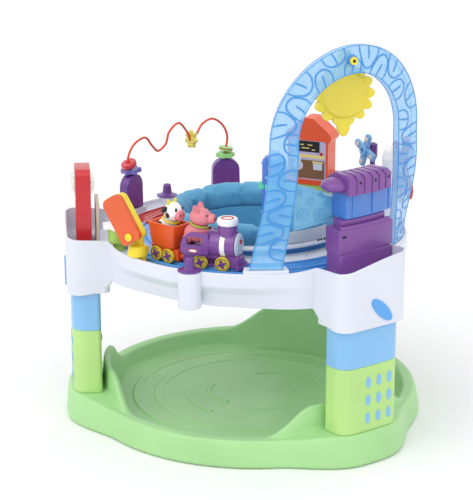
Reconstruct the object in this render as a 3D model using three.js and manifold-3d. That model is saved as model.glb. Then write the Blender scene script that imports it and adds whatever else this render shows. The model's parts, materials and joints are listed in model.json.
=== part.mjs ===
// Activity jumper: a three-legged activity table with a turning fabric seat, a train track and toys.
// Millimetres, +Z up. The origin is on the ground under the centre of the table.
// Heights below are drawn from a level LIFT above the ground, and add() raises every solid by LIFT.
// The left leg stands near -X, the front leg near +X -Y and the back leg near +Y.

import * as THREE from "three";
import { mergeVertices } from "three/addons/utils/BufferGeometryUtils.js";
import Module from "manifold-3d";

const wasm = await Module();
wasm.setup();

const GAP = 0.35;
const LIFT = 10;
const LEG_ANGLES = [186.6, 306.6, 66.6];
const LEG_RADIUS = 312;
const LEG_WIDTH = 132;
const LEG_DEPTH = 50;
const LEG_BULGE = 3;
const LEG_FOOT_Z = 49;
const LOWER_LEG_TOP_Z = 170;
const TOWER_BOTTOM_Z = 240;
const UPPER_LEG_TOP_Z = 275;
const TOWER_WIDTH = 150;
const TOWER_INNER_R = 270;
const TOWER_OUTER_R = 347;
const WALL = 4;

const TRAY_SIDE_R = 312;
const TRAY_POD_R = 353;
const TRAY_FLOOR_Z = 12;

const RIM_R = 281;
const RIM_Z = 335;
const PARAPET_Z = 367;
const DECK_Z = 322;
const DECK_THICK = 8;
const SKIRT_R = 258;
const SKIRT_Z = 268;
const SEAT_HOLE_R = 179;

const TRACK_IN = 192;
const TRACK_OUT = 247;
const TRACK_TOP = 328;
const GROOVE_Z = 325.2;
const TRAIN_R = 222;
const GAUGE_HALF = 17;
const WHEEL_R = 13;
const WHEEL_T = 7;

const ARCH_ANGLE = 306.6;
const ARCH_R = 272;
const ARCH_THICK = 10;
const ARCH_FOOT_Z = 341;

const rad = (deg) => (deg * Math.PI) / 180;
const group = new THREE.Group();
group.name = "activity_jumper";

// ---------- solids ----------

// A closed geometry as a manifold solid facing out.
function solid(geometry) {
  const bare = geometry.clone();
  for (const name of Object.keys(bare.attributes)) {
    if (name !== "position") bare.deleteAttribute(name);
  }
  const merged = mergeVertices(bare, 1e-4);
  const position = merged.attributes.position;
  const index = merged.index.array;
  const corners = [];
  let volume = 0;
  const a = new THREE.Vector3();
  const b = new THREE.Vector3();
  const c = new THREE.Vector3();
  for (let i = 0; i < index.length; i += 3) {
    const [p, q, r] = [index[i], index[i + 1], index[i + 2]];
    if (p === q || q === r || r === p) continue;
    a.fromBufferAttribute(position, p);
    b.fromBufferAttribute(position, q);
    c.fromBufferAttribute(position, r);
    volume += a.dot(b.cross(c));
    corners.push(p, q, r);
  }
  if (volume < 0) corners.reverse();
  return new wasm.Manifold(
    new wasm.Mesh({
      numProp: 3,
      vertProperties: new Float32Array(position.array),
      triVerts: new Uint32Array(corners),
    }),
  );
}

function union(...solids) {
  return solids.reduce((sum, next) => sum.add(next));
}

function cut(body, ...tools) {
  return tools.reduce((left, tool) => left.subtract(tool), body);
}

function add(name, body, colour, options = {}) {
  const mesh = body.getMesh();
  const geometry = new THREE.BufferGeometry();
  geometry.setAttribute("position", new THREE.BufferAttribute(new Float32Array(mesh.vertProperties), 3));
  geometry.setIndex(new THREE.BufferAttribute(new Uint32Array(mesh.triVerts), 1));
  geometry.translate(0, 0, LIFT);
  const flat = geometry.toNonIndexed();
  flat.computeVertexNormals();
  const material = new THREE.MeshStandardMaterial({ color: colour, roughness: 0.5, ...options });
  material.name = name;
  const node = new THREE.Mesh(flat, material);
  node.name = name;
  group.add(node);
}

// Local +Y points out from the centre and local +X runs clockwise along the rim.
function atRim(geometry, deg, radius = 0) {
  geometry.rotateZ(rad(deg - 90));
  geometry.translate(radius * Math.cos(rad(deg)), radius * Math.sin(rad(deg)), 0);
  return geometry;
}

// Local +X points along the track, anticlockwise, and local -Y points out from the centre.
function onTrack(geometry, deg, radius = TRAIN_R) {
  geometry.rotateZ(rad(deg + 90));
  geometry.translate(radius * Math.cos(rad(deg)), radius * Math.sin(rad(deg)), 0);
  return geometry;
}

function prism(points, z0, z1) {
  const shape = new THREE.Shape(points.map(([x, y]) => new THREE.Vector2(x, y)));
  const geometry = new THREE.ExtrudeGeometry(shape, { depth: z1 - z0, bevelEnabled: false, steps: 1 });
  geometry.translate(0, 0, z0);
  return geometry;
}

// A rounded rectangle with its own radius for the +Y corners and for the -Y corners.
function roundRect(width, depth, outer, inner = outer, steps = 5, bulge = 0) {
  const points = [];
  const corners = [
    [1, 1, outer, 0],
    [-1, 1, outer, 90],
    [-1, -1, inner, 180],
    [1, -1, inner, 270],
  ];
  for (const [sx, sy, r, start] of corners) {
    for (let i = 0; i <= steps; i += 1) {
      const angle = rad(start + (90 * i) / steps);
      const x = sx * (width / 2 - r) + r * Math.cos(angle);
      let y = sy * (depth / 2 - r) + r * Math.sin(angle);
      if (sy > 0) y += bulge * Math.max(0, 1 - Math.pow((2 * x) / width, 2));
      points.push([x, y]);
    }
  }
  return points;
}

function shift(points, dx, dy) {
  return points.map(([x, y]) => [x + dx, y + dy]);
}

// A turned solid about Z; the profile is [radius, z] from the bottom of the axis to its top.
function turned(profile, segments = 24) {
  const points = profile.map(([r, z]) => new THREE.Vector2(Math.max(r, 0), z));
  const geometry = new THREE.LatheGeometry(points, segments);
  geometry.rotateX(Math.PI / 2);
  return geometry;
}

function rod(radius, z0, z1, segments = 20) {
  return turned([[0, z0], [radius, z0], [radius, z1], [0, z1]], segments);
}

function softRod(radius, z0, z1, edge, segments = 20) {
  const profile = [
    [0, z0],
    [radius - edge, z0],
    [radius, z0 + edge],
    [radius, z1 - edge],
    [radius - edge, z1],
    [0, z1],
  ];
  return turned(profile, segments);
}

function ball(radius, x, y, z, segments = 14) {
  const geometry = new THREE.SphereGeometry(radius, segments, Math.round(segments * 0.7));
  geometry.translate(x, y, z);
  return geometry;
}

// A closed profile [r, z] carried round the axis from one angle to the other, with end caps.
// The profile may be a function of how far along it is, from 0 to 1.
function arcSolid(profile, fromDeg, toDeg, steps) {
  const profileAt = typeof profile === "function" ? profile : () => profile;
  const position = [];
  const index = [];
  const n = profileAt(0).length;
  for (let i = 0; i <= steps; i += 1) {
    const t = i / steps;
    const angle = rad(fromDeg + (toDeg - fromDeg) * t);
    for (const [r, z] of profileAt(t)) position.push(r * Math.cos(angle), r * Math.sin(angle), z);
  }
  for (let i = 0; i < steps; i += 1) {
    for (let j = 0; j < n; j += 1) {
      const a = i * n + j;
      const b = i * n + ((j + 1) % n);
      index.push(a, b, b + n, a, b + n, a + n);
    }
  }
  const outline = profileAt(0).map(([r, z]) => new THREE.Vector2(r, z));
  for (const [p, q, r] of THREE.ShapeUtils.triangulateShape(outline, [])) {
    index.push(p, r, q);
    const last = steps * n;
    index.push(last + p, last + q, last + r);
  }
  const geometry = new THREE.BufferGeometry();
  geometry.setAttribute("position", new THREE.BufferAttribute(new Float32Array(position), 3));
  geometry.setIndex(index);
  return geometry;
}

function arcBlock(r0, r1, z0, z1, fromDeg, toDeg, steps = 8) {
  return arcSolid([[r0, z0], [r1, z0], [r1, z1], [r0, z1]], fromDeg, toDeg, steps);
}

// A solid whose profile changes with the angle round the axis. closed: the profile starts and ends on the axis.
function roundSolid(angles, profileAt, closed) {
  const rows = angles.map((deg) => profileAt(deg));
  const n = rows[0].length;
  const position = [];
  const index = [];
  rows.forEach((row, i) => {
    const angle = rad(angles[i]);
    for (const [r, z] of row) position.push(r * Math.cos(angle), r * Math.sin(angle), z);
  });
  const spans = closed ? n - 1 : n;
  for (let i = 0; i < rows.length; i += 1) {
    const next = ((i + 1) % rows.length) * n;
    for (let j = 0; j < spans; j += 1) {
      const a = i * n + j;
      const b = i * n + ((j + 1) % n);
      const c = next + ((j + 1) % n);
      const d = next + j;
      index.push(a, b, c, a, c, d);
    }
  }
  const geometry = new THREE.BufferGeometry();
  geometry.setAttribute("position", new THREE.BufferAttribute(new Float32Array(position), 3));
  geometry.setIndex(index);
  return geometry;
}

function smooth(from, to, value) {
  const t = Math.min(1, Math.max(0, (value - from) / (to - from)));
  return t * t * (3 - 2 * t);
}

const mix = (a, b, t) => a + (b - a) * t;

// How far an angle is from the nearest leg, in degrees.
function offLeg(deg) {
  const turn = (((deg - LEG_ANGLES[0]) % 120) + 120) % 120;
  return Math.min(turn, 120 - turn);
}

// Angles round the table, closer together at the flanks of the legs.
function rimAngles(offsets) {
  const angles = [];
  for (const leg of LEG_ANGLES) {
    for (const offset of offsets) angles.push(leg + offset);
  }
  return angles.sort((a, b) => a - b);
}

const mirrored = (list) => [...list.map((v) => -v).reverse(), 0, ...list];

// ---------- base ----------

const trayOffsets = [...mirrored([5, 8.5, 12, 16, 20, 24, 28, 33, 45]), 60];
const tray = roundSolid(
  rimAngles(trayOffsets),
  (deg) => {
    const pod = 1 - smooth(5, 30, offLeg(deg));
    const shoulder = 1 - smooth(16, 34, offLeg(deg));
    const outer = mix(TRAY_SIDE_R, TRAY_POD_R, pod);
    const lip = mix(40, LEG_FOOT_Z, 1 - smooth(12, 26, offLeg(deg)));
    const crestIn = mix(293, 284, shoulder);
    const crestOut = mix(301, 346, pod);
    return [
      [0, -LIFT],
      [outer - 6, -LIFT],
      [outer, 5 - LIFT],
      [mix(outer, crestOut, 0.55), lip * 0.72],
      [crestOut, lip],
      [crestIn, lip],
      [crestIn - 2, lip + 42 * shoulder],
      [crestIn - 12, lip - 0.5 + 42 * shoulder],
      [mix(268, 254, shoulder), TRAY_FLOOR_Z],
      [229, TRAY_FLOOR_Z],
      [227, 14.5],
      [218, 14.5],
      [215, TRAY_FLOOR_Z],
      [189, TRAY_FLOOR_Z],
      [187, 14],
      [173, 14],
      [170, TRAY_FLOOR_Z],
      [0, TRAY_FLOOR_Z],
    ];
  },
  true,
);
const swirlA = arcBlock(58, 66, 11, 14, 150, 245, 12);
swirlA.translate(-22, 6, 0);
const swirlB = arcBlock(118, 126, 11, 14, 60, 98, 8);
swirlB.translate(22, -24, 0);
add("base_tray", union(solid(tray), solid(swirlA), solid(swirlB)), 0x8fd080);

const legSection = roundRect(LEG_WIDTH, LEG_DEPTH, 24, 9, 5, LEG_BULGE);
const legBore = roundRect(LEG_WIDTH - 10, LEG_DEPTH - 10, 19, 5, 4, LEG_BULGE);
const insertSection = roundRect(LEG_WIDTH - 16, LEG_DEPTH - 15, 15, 4, 4, 2);
const upperBore = roundRect(LEG_WIDTH - 24, LEG_DEPTH - 24, 11, 2, 3, 3);

const NUB_X = -14;
const NUB_PITCH = 24;
const NUB_ROWS = [74, 107, 140];
const outerFace = LEG_DEPTH / 2 + LEG_BULGE;

function ovalAlongY(width, height, y0, y1, x, z, segments = 8) {
  const geometry = rod(1, 0, 1, segments);
  geometry.scale(width / 2, height / 2, y1 - y0);
  geometry.rotateX(-Math.PI / 2);
  geometry.translate(x, y0, z);
  return geometry;
}

function turnSolid(body, deg, radius) {
  const moved = body.rotate([0, 0, deg - 90]);
  return moved.translate([radius * Math.cos(rad(deg)), radius * Math.sin(rad(deg)), 0]);
}

const windows = [];
const nubs = [];
for (const z of NUB_ROWS) {
  for (let i = -1; i <= 1; i += 1) {
    const x = NUB_X + i * NUB_PITCH;
    windows.push(ovalAlongY(11.4, 21.4, 12, 50, x, z));
    nubs.push(ovalAlongY(10, 20, 12, outerFace + 0.8, x, z));
  }
}
const lowerLeg = cut(
  solid(prism(legSection, LEG_FOOT_Z + GAP, LOWER_LEG_TOP_Z)),
  solid(prism(legBore, LEG_FOOT_Z + 8, LOWER_LEG_TOP_Z + 1)),
  ...windows.map(solid),
);
const upperLeg = cut(
  union(
    solid(prism(legSection, LOWER_LEG_TOP_Z + GAP, UPPER_LEG_TOP_Z)),
    solid(prism(insertSection, LEG_FOOT_Z + 9, LOWER_LEG_TOP_Z + 2)),
    ...nubs.map(solid),
  ),
  solid(prism(upperBore, LOWER_LEG_TOP_Z + 8, UPPER_LEG_TOP_Z + 1)),
);
LEG_ANGLES.forEach((deg, i) => {
  add(`lower_leg_${i + 1}`, turnSolid(lowerLeg, deg, LEG_RADIUS), 0xb4dc84);
  add(`upper_leg_${i + 1}`, turnSolid(upperLeg, deg, LEG_RADIUS), 0x86bce6);
});

// ---------- table ----------

const tableOffsets = [...mirrored([5, 8.2, 10.6, 12, 13.2, 14.3, 15.5, 20, 28, 38, 49]), 60];

// How far the wall of a tower is from the centre of the table, inset by a wall thickness.
function towerReach(deg, inset) {
  const off = rad(offLeg(deg));
  const half = TOWER_WIDTH / 2 - inset;
  const front = TOWER_OUTER_R - inset;
  const corner = 26 - inset;
  const [cu, cv] = [half - corner, front - corner];
  if (Math.tan(off) <= cu / front) return front / Math.cos(off);
  if (Math.tan(off) <= half / cv) {
    const c = cu * Math.sin(off) + cv * Math.cos(off);
    return c + Math.sqrt(c * c - (cu * cu + cv * cv - corner * corner));
  }
  return half / Math.sin(off);
}

// The rim is low between the two front towers, so the towers' tops fall towards it.
const FRONT_DEG = 246.6;

function rimRise(deg) {
  const offFront = Math.abs(((((deg - FRONT_DEG) % 360) + 540) % 360) - 180);
  const towardsFront = 60 - offFront;
  return Math.min(1 - smooth(-16, 27, towardsFront), 1 - smooth(10, 27, offLeg(deg)));
}

const deckRing = roundSolid(
  rimAngles(tableOffsets),
  (deg) => {
    const off = offLeg(deg);
    const tower = 1 - smooth(14, 15.6, off);
    const flare = 1 - smooth(15, 44, off);
    const rim = Math.max(RIM_R + 2 * flare, towerReach(deg, 0));
    const inside = Math.max(RIM_R + 2 * flare - WALL, towerReach(deg, WALL));
    const foot = mix(SKIRT_R + 22 * flare, rim, tower);
    const footInside = mix(SKIRT_R + 22 * flare - WALL, inside, tower);
    const top = mix(RIM_Z, PARAPET_Z, rimRise(deg));
    const ledge = mix(0.45, 0, tower);
    const low = mix(SKIRT_Z, TOWER_BOTTOM_Z, tower);
    return [
      [SEAT_HOLE_R, DECK_Z - DECK_THICK],
      [SEAT_HOLE_R, DECK_Z],
      [inside - 5, DECK_Z],
      [inside, DECK_Z + 5],
      [inside, top - 2],
      [(rim + inside) / 2, top],
      [rim, top - 2],
      [rim, DECK_Z - 12],
      [mix(rim, foot, ledge), DECK_Z - 24],
      [mix(rim, foot, ledge + 0.12 * (1 - tower)), DECK_Z - 27],
      [foot, low],
      [footInside, low],
      [mix(inside, footInside, 0.6), DECK_Z - DECK_THICK - 10],
      [inside - 3, DECK_Z - DECK_THICK],
    ];
  },
  false,
);

const sleeveDepth = TOWER_OUTER_R - LEG_BULGE - TOWER_INNER_R;
const sleeveMid = TOWER_INNER_R + sleeveDepth / 2;
const SLEEVE_INSET = 2.2;
const sleeveOuter = shift(
  roundRect(TOWER_WIDTH - 2 * SLEEVE_INSET, sleeveDepth - SLEEVE_INSET, 24, 12, 5, LEG_BULGE - 0.6),
  0,
  -SLEEVE_INSET / 2,
);
const cavityDepth = LEG_DEPTH + 9;
const cavityMid = LEG_RADIUS + 1.5 - 3 - sleeveMid;
const sleeveInner = shift(roundRect(LEG_WIDTH + 4, cavityDepth, 24, 8, 5, LEG_BULGE), 0, cavityMid);

const tableParts = [solid(deckRing)];
for (const deg of LEG_ANGLES) {
  const wall = cut(
    solid(prism(sleeveOuter, TOWER_BOTTOM_Z + 3, DECK_Z - DECK_THICK + 1)),
    solid(prism(sleeveInner, TOWER_BOTTOM_Z + 2, DECK_Z - DECK_THICK - 4)),
  );
  tableParts.push(turnSolid(wall, deg, sleeveMid));
}

const PEG_ANGLES = [246.6, 126.6];
const PEG_R = 283;
for (const deg of PEG_ANGLES) {
  const boss = solid(rod(20, SKIRT_Z + 2, RIM_Z, 18));
  const x = PEG_R * Math.cos(rad(deg));
  const y = PEG_R * Math.sin(rad(deg));
  tableParts.push(boss.translate([x, y, 0]));
}
for (const side of [-1, 1]) {
  const mid = ARCH_ANGLE + side * 33;
  tableParts.push(solid(arcBlock(256, 279, DECK_Z - 2, ARCH_FOOT_Z - GAP, mid - 8, mid + 8, 6)));
}
const BEAD_POSTS = [
  { name: "left", deg: 150.4 },
  { name: "right", deg: 101.7 },
];
for (const post of BEAD_POSTS) {
  tableParts.push(solid(arcBlock(256, 279, DECK_Z - 2, RIM_Z, post.deg - 7, post.deg + 7, 4)));
}
const ovalTilt = 44;
const OVAL_X = -10;
const OVAL_Z = 270;

function ovalPlug(width, height, y0, y1) {
  const geometry = rod(1, 0, 1, 22);
  geometry.scale(width / 2, height / 2, y1 - y0);
  geometry.rotateX(-Math.PI / 2);
  geometry.rotateY(rad(-ovalTilt));
  geometry.translate(OVAL_X, y0, OVAL_Z);
  return geometry;
}

const ovalHole = solid(ovalPlug(60.8, 22.8, TOWER_OUTER_R - 18, TOWER_OUTER_R + 12));
let table = union(...tableParts);
for (const deg of LEG_ANGLES) {
  table = table.subtract(turnSolid(ovalHole, deg, 0));
}
add("table_top", table, 0xeef0f4);

const ovalButton = solid(ovalPlug(60, 22, TOWER_OUTER_R - 3.6, TOWER_OUTER_R + 3));
LEG_ANGLES.forEach((deg, i) => add(`height_button_${i + 1}`, turnSolid(ovalButton, deg, 0), 0x4f9fe0));

// ---------- track ----------

const g = 3;
const trackProfile = [
  [TRACK_IN, DECK_Z + GAP],
  [TRACK_OUT, DECK_Z + GAP],
  [TRACK_OUT, TRACK_TOP],
];
for (const r of [TRAIN_R + GAUGE_HALF, TRAIN_R - GAUGE_HALF]) {
  trackProfile.push([r + WHEEL_T / 2 + g, TRACK_TOP], [r + WHEEL_T / 2 + g, GROOVE_Z]);
  trackProfile.push([r - WHEEL_T / 2 - g, GROOVE_Z], [r - WHEEL_T / 2 - g, TRACK_TOP]);
}
trackProfile.push([TRACK_IN, TRACK_TOP]);
add("track_blue", solid(arcSolid(trackProfile, 163, 421, 38)), 0x5a9fe0);
add("track_red", solid(arcSolid(trackProfile, 61.3, 162.7, 15)), 0xc81e2a);

// ---------- seat ----------

const seatRing = arcSolidFull([
  [161, 300],
  [177, 300],
  [177, DECK_Z + 0.6],
  [189, DECK_Z + 0.6],
  [190, DECK_Z + 4],
  [176, DECK_Z + 9],
  [172, DECK_Z + 10],
  [172, DECK_Z + 24],
  [168, DECK_Z + 28],
  [161, DECK_Z + 28],
]);
add("seat_ring", solid(seatRing), 0xf2f2f4);

const seatBand = arcSolidFull([
  [172.4, DECK_Z + 13],
  [174.4, DECK_Z + 13.6],
  [174.4, DECK_Z + 21.4],
  [172.4, DECK_Z + 22],
]);
add("seat_band", solid(seatBand), 0x1f5f9e);

function arcSolidFull(profile, segments = 36) {
  const angles = [];
  for (let i = 0; i < segments; i += 1) angles.push((360 * i) / segments);
  return roundSolid(angles, () => profile, false);
}

const seatProfile = [
  [0, 206],
  [60, 208],
  [92, 224],
  [112, 258],
  [132, 312],
  [152, 322],
  [160, 336],
  [160.5, 362],
  [157, 384],
  [147, 394],
  [135, 391],
  [128, 378],
  [126, 340],
  [104, 262],
  [86, 232],
  [57, 216],
  [0, 214],
];
let seatCover = solid(turned(seatProfile, 30));
for (const side of [-1, 1]) {
  const hole = rod(36, 190, 262, 18);
  hole.translate(side * 52, -38, 0);
  seatCover = seatCover.subtract(solid(hole));
}
add("seat_cover", seatCover, 0x6aa8d0, { roughness: 0.9 });

// ---------- arch ----------

const ARCH_TOP_Z = 716;
const ARCH_CROWN_R = 154;
const ARCH_CROWN_Z = ARCH_TOP_Z - ARCH_CROWN_R;

// The band runs up one leg, over the crown and down the other; width is the width of the band.
function archEdge(crownR, footS, steps) {
  const line = [];
  const legSteps = 4;
  for (let i = 0; i < legSteps; i += 1) {
    const t = i / legSteps;
    line.push([-mix(footS, crownR, Math.sin((t * Math.PI) / 2)), mix(ARCH_FOOT_Z, ARCH_CROWN_Z, t)]);
  }
  for (let i = 0; i <= steps; i += 1) {
    const angle = Math.PI - (Math.PI * i) / steps;
    line.push([crownR * Math.cos(angle), ARCH_CROWN_Z + crownR * Math.sin(angle)]);
  }
  for (let i = legSteps - 1; i >= 0; i -= 1) {
    const t = i / legSteps;
    line.push([mix(footS, crownR, Math.sin((t * Math.PI) / 2)), mix(ARCH_FOOT_Z, ARCH_CROWN_Z, t)]);
  }
  return line;
}

// How far the band bows out from its ring: the feet stand on the ring and the crown is flatter.
const ARCH_BOW = 0.5;

function archBow(s, z) {
  return ARCH_BOW * smooth(ARCH_FOOT_Z, 520, z) * (1 / Math.cos(s / ARCH_R) - 1) * ARCH_R;
}

function archBand() {
  const outer = archEdge(ARCH_CROWN_R, 185, 18);
  const inner = archEdge(ARCH_CROWN_R - 48, 129, 18);
  const position = [];
  const index = [];
  const n = outer.length;
  const put = ([s, z], r) => {
    const angle = rad(ARCH_ANGLE) + s / ARCH_R;
    const reach = r + archBow(s, z);
    position.push(reach * Math.cos(angle), reach * Math.sin(angle), z);
  };
  for (let i = 0; i < n; i += 1) {
    put(outer[i], ARCH_R + ARCH_THICK / 2);
    put(inner[i], ARCH_R + ARCH_THICK / 2);
    put(inner[i], ARCH_R - ARCH_THICK / 2);
    put(outer[i], ARCH_R - ARCH_THICK / 2);
  }
  for (let i = 0; i + 1 < n; i += 1) {
    for (let j = 0; j < 4; j += 1) {
      const a = i * 4 + j;
      const b = i * 4 + ((j + 1) % 4);
      index.push(a, b, b + 4, a, b + 4, a + 4);
    }
  }
  index.push(0, 2, 1, 0, 3, 2);
  const last = (n - 1) * 4;
  index.push(last, last + 1, last + 2, last, last + 2, last + 3);
  const geometry = new THREE.BufferGeometry();
  geometry.setAttribute("position", new THREE.BufferAttribute(new Float32Array(position), 3));
  geometry.setIndex(index);
  return geometry;
}

const CAGE_DEG = 277.6;
const CAGE_R = 236;
const CAGE_Z0 = 420;
const CAGE_Z1 = 530;
const cageX = CAGE_R * Math.cos(rad(CAGE_DEG));
const cageY = CAGE_R * Math.sin(rad(CAGE_DEG));
const archParts = [solid(archBand())];
for (const [z, reach] of [[CAGE_Z0 - 7, 278], [CAGE_Z1 + 1, 290]]) {
  const length = reach - CAGE_R + 9;
  const tab = prism(roundRect(20, length, 6, 6, 4), z, z + 6);
  archParts.push(solid(atRim(tab, CAGE_DEG, reach - length / 2)));
}
const SUN_DEG = 308.1;
const SUN_FACE_DEG = 286;
const BOLT_Z = 692;
const SUN_R = 240;
const sunAxis = [Math.cos(rad(SUN_FACE_DEG)), Math.sin(rad(SUN_FACE_DEG))];
const sunX = SUN_R * Math.cos(rad(SUN_DEG));
const sunY = SUN_R * Math.sin(rad(SUN_DEG));

// A rod along the axis of the sun; y is measured out from the middle of the sun.
function alongSunAxis(geometry, z) {
  geometry.rotateX(-Math.PI / 2);
  geometry.translate(0, 0, z);
  geometry.rotateZ(rad(SUN_FACE_DEG - 90));
  geometry.translate(sunX, sunY, 0);
  return geometry;
}

let arch = union(...archParts);
for (const z of [CAGE_Z0 - 8, CAGE_Z1]) {
  const hole = rod(3.6, z, z + 8, 12);
  hole.translate(cageX, cageY, 0);
  arch = arch.subtract(solid(hole));
}
arch = arch.subtract(solid(alongSunAxis(rod(5.4, 10, 60, 16), BOLT_Z)));
add("arch", arch, 0x6fbdf0, { transparent: true, opacity: 0.55 });

const boltHead = union(
  solid(alongSunAxis(softRod(9, 47, 53, 2, 16), BOLT_Z)),
  solid(alongSunAxis(rod(5, -9, 48, 14), BOLT_Z)),
  solid(alongSunAxis(rod(9, -13, -8.5, 14), BOLT_Z)),
);
add("sun_bolt", boltHead, 0xe8d43c);

const SUN_Z = 627;
const sunOutline = [];
const RAYS = 12;
for (let i = 0; i < RAYS * 4; i += 1) {
  const angle = (2 * Math.PI * i) / (RAYS * 4);
  const phase = i % 4;
  let r = phase === 0 ? 55 : phase === 2 ? 44 : 50;
  if (i === RAYS * 3) r = 74;
  sunOutline.push([r * Math.cos(angle), r * Math.sin(angle)]);
}
// The plate of the sun lies in the plane across its axis; the long ray hangs straight down.
function sunPlate(points, y0, y1) {
  const geometry = prism(points, y0, y1);
  geometry.rotateX(Math.PI / 2);
  geometry.rotateZ(Math.PI);
  return geometry;
}
function placeSun(geometry, z = SUN_Z) {
  geometry.translate(0, 0, z);
  geometry.rotateZ(rad(SUN_FACE_DEG - 90));
  geometry.translate(sunX, sunY, 0);
  return geometry;
}
const sunDrum = softRod(39, -11, 11, 4, 26);
sunDrum.rotateX(-Math.PI / 2);
const sunTab = prism(roundRect(24, 10, 3), 40, 78);
let sun = union(
  solid(placeSun(sunPlate(sunOutline, -7, 7))),
  solid(placeSun(sunDrum)),
  solid(placeSun(sunTab)),
);
sun = sun.subtract(solid(alongSunAxis(rod(5.5, -20, 20, 14), BOLT_Z)));
add("sun", sun, 0xe6d23e);

const cageProfile = [
  [0, CAGE_Z0 - 5],
  [3, CAGE_Z0 - 5],
  [3, CAGE_Z0],
  [15, CAGE_Z0],
  [21, CAGE_Z0 + 8],
  [21, CAGE_Z0 + 54],
  [21, CAGE_Z1 - 8],
  [15, CAGE_Z1],
  [3, CAGE_Z1],
  [3, CAGE_Z1 + 5],
  [0, CAGE_Z1 + 5],
];
const cageStar = starPoints(6, 27, 19);
const cageStarBody = prism(cageStar, CAGE_Z0 + 52, CAGE_Z0 + 66);
const cage = union(solid(turned(cageProfile, 20)), solid(cageStarBody));
add("arch_spinner", cage.translate([cageX, cageY, 0]), 0x1f78d0, { transparent: true, opacity: 0.75 });

function starPoints(count, outer, inner, soften = 0.86) {
  const points = [];
  for (let i = 0; i < count * 4; i += 1) {
    const angle = (2 * Math.PI * i) / (count * 4);
    const phase = i % 4;
    const r = phase === 0 ? outer : phase === 2 ? inner : mix(inner, outer, soften * 0.55);
    points.push([r * Math.cos(angle), r * Math.sin(angle)]);
  }
  return points;
}

// ---------- tunnel and sound box over the front leg ----------

const KEY_DEG = 306.6;
const KEY_Z = 376;
const BOX_IN = 262;
const BOX_OUT = 304;
const BOX_FRONT = 46;
const boxMid = (BOX_OUT + BOX_IN - 3) / 2;
const boxDepth = BOX_OUT - BOX_IN + 3;
const boxLow = box(BOX_FRONT + 70, boxDepth, DECK_Z + 1.2, 364, 6, (BOX_FRONT - 70) / 2, boxMid);
const boxHigh = box(BOX_FRONT + 78, boxDepth, 363.5, 408, 6, (BOX_FRONT - 78) / 2, boxMid);
let soundBox = union(
  solid(atRim(boxLow, KEY_DEG)),
  solid(atRim(boxHigh, KEY_DEG)),
  solid(arcBlock(BOX_IN + 4, BOX_OUT - 12, 407, 421, 299.5, 320, 8)),
);
const keyBore = rod(18.6, 0, 16, 20);
keyBore.rotateX(-Math.PI / 2);
keyBore.translate(0, BOX_IN - 6, KEY_Z);
soundBox = soundBox.subtract(solid(atRim(keyBore, KEY_DEG)));
add("sound_box", soundBox, 0x7d4b96);

const key = softRod(18, 0, 10, 2, 20);
key.rotateX(-Math.PI / 2);
key.translate(0, BOX_IN - 5.5, KEY_Z);
add("sound_key", solid(atRim(key, KEY_DEG)), 0xf0c83c);

const tunnelWall = arcBlock(250, 292, 421 + GAP, 466 - GAP, 301.5, 323.5, 10);
add("tunnel_wall", solid(tunnelWall), 0x4f86d8, { transparent: true, opacity: 0.8 });

const ribProfile = [
  [240, 466],
  [306, 466],
  [306, 494],
  [297, 500],
  [262, 500],
  [240, 488],
];
const roofProfile = ribProfile.map(([r, z]) => [mix(273, r, 0.95), z > 470 ? z - 3 : z]);
const roofParts = [solid(arcSolid(roofProfile, 300.6, 319, 10))];
for (let i = 0; i < 6; i += 1) {
  const mid = 302 + i * 3.2;
  roofParts.push(solid(arcSolid(ribProfile, mid - 1.1, mid + 1.1, 2)));
}
const nose = new THREE.SphereGeometry(1, 14, 8);
nose.scale(28, 25, 13.5);
nose.translate(0, 0, 480);
roofParts.push(solid(atRim(nose, 300.6, 272)));
add("tunnel_roof", union(...roofParts), 0x7d4b96);

// The panel is tall beside the arch and lower where it meets the tunnel.
const panelStart = 285;
const panelEnd = 303.5;
const panelHeights = (t) => [mix(400, 414, t), mix(486, 452, smooth(-0.3, 1.1, t))];
const panelRows = 10;
const panel = arcSolid(
  (t) => {
    const [low, high] = panelHeights(t);
    return [[241, low], [249.4, low], [249.4, high], [241, high]];
  },
  panelStart,
  panelEnd,
  panelRows,
);
add("light_panel", solid(panel), 0x9fd4f0, { transparent: true, opacity: 0.6 });

// ---------- train ----------

function box(length, width, z0, z1, radius, x = 0, y = 0, steps = 3) {
  return prism(shift(roundRect(length, width, radius, radius, steps), x, y), z0, z1);
}

function lyingRod(radius, x0, x1, y, z, segments = 20) {
  const geometry = softRod(radius, x0, x1, Math.min(2, radius / 4), segments);
  geometry.rotateY(Math.PI / 2);
  geometry.translate(0, y, z);
  return geometry;
}

const AXLE_Z = GROOVE_Z + 0.5 + WHEEL_R;
const LOCO_DEG = 251;
const WAGON_DEG = 227.5;
const LOCO_AXLES = [-18, 22];
const WAGON_AXLES = [-14, 14];

function crossRod(radius, y0, y1, x, z, segments = 16) {
  const geometry = rod(radius, y0, y1, segments);
  geometry.rotateX(-Math.PI / 2);
  geometry.translate(x, 0, z);
  return geometry;
}

function wheelSet(x) {
  const near = -GAUGE_HALF;
  const far = GAUGE_HALF;
  return union(
    solid(crossRod(WHEEL_R, near - WHEEL_T / 2, near + WHEEL_T / 2, x, AXLE_Z, 16)),
    solid(crossRod(WHEEL_R, far - WHEEL_T / 2, far + WHEEL_T / 2, x, AXLE_Z, 16)),
    solid(crossRod(5.5, near - 5, near, x, AXLE_Z, 8)),
    solid(crossRod(5.5, far, far + 5, x, AXLE_Z, 8)),
    solid(crossRod(3, near, far, x, AXLE_Z, 8)),
  );
}

function toTrack(body, deg) {
  const x = TRAIN_R * Math.cos(rad(deg));
  const y = TRAIN_R * Math.sin(rad(deg));
  return body.rotate([0, 0, deg + 90]).translate([x, y, 0]);
}

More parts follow.
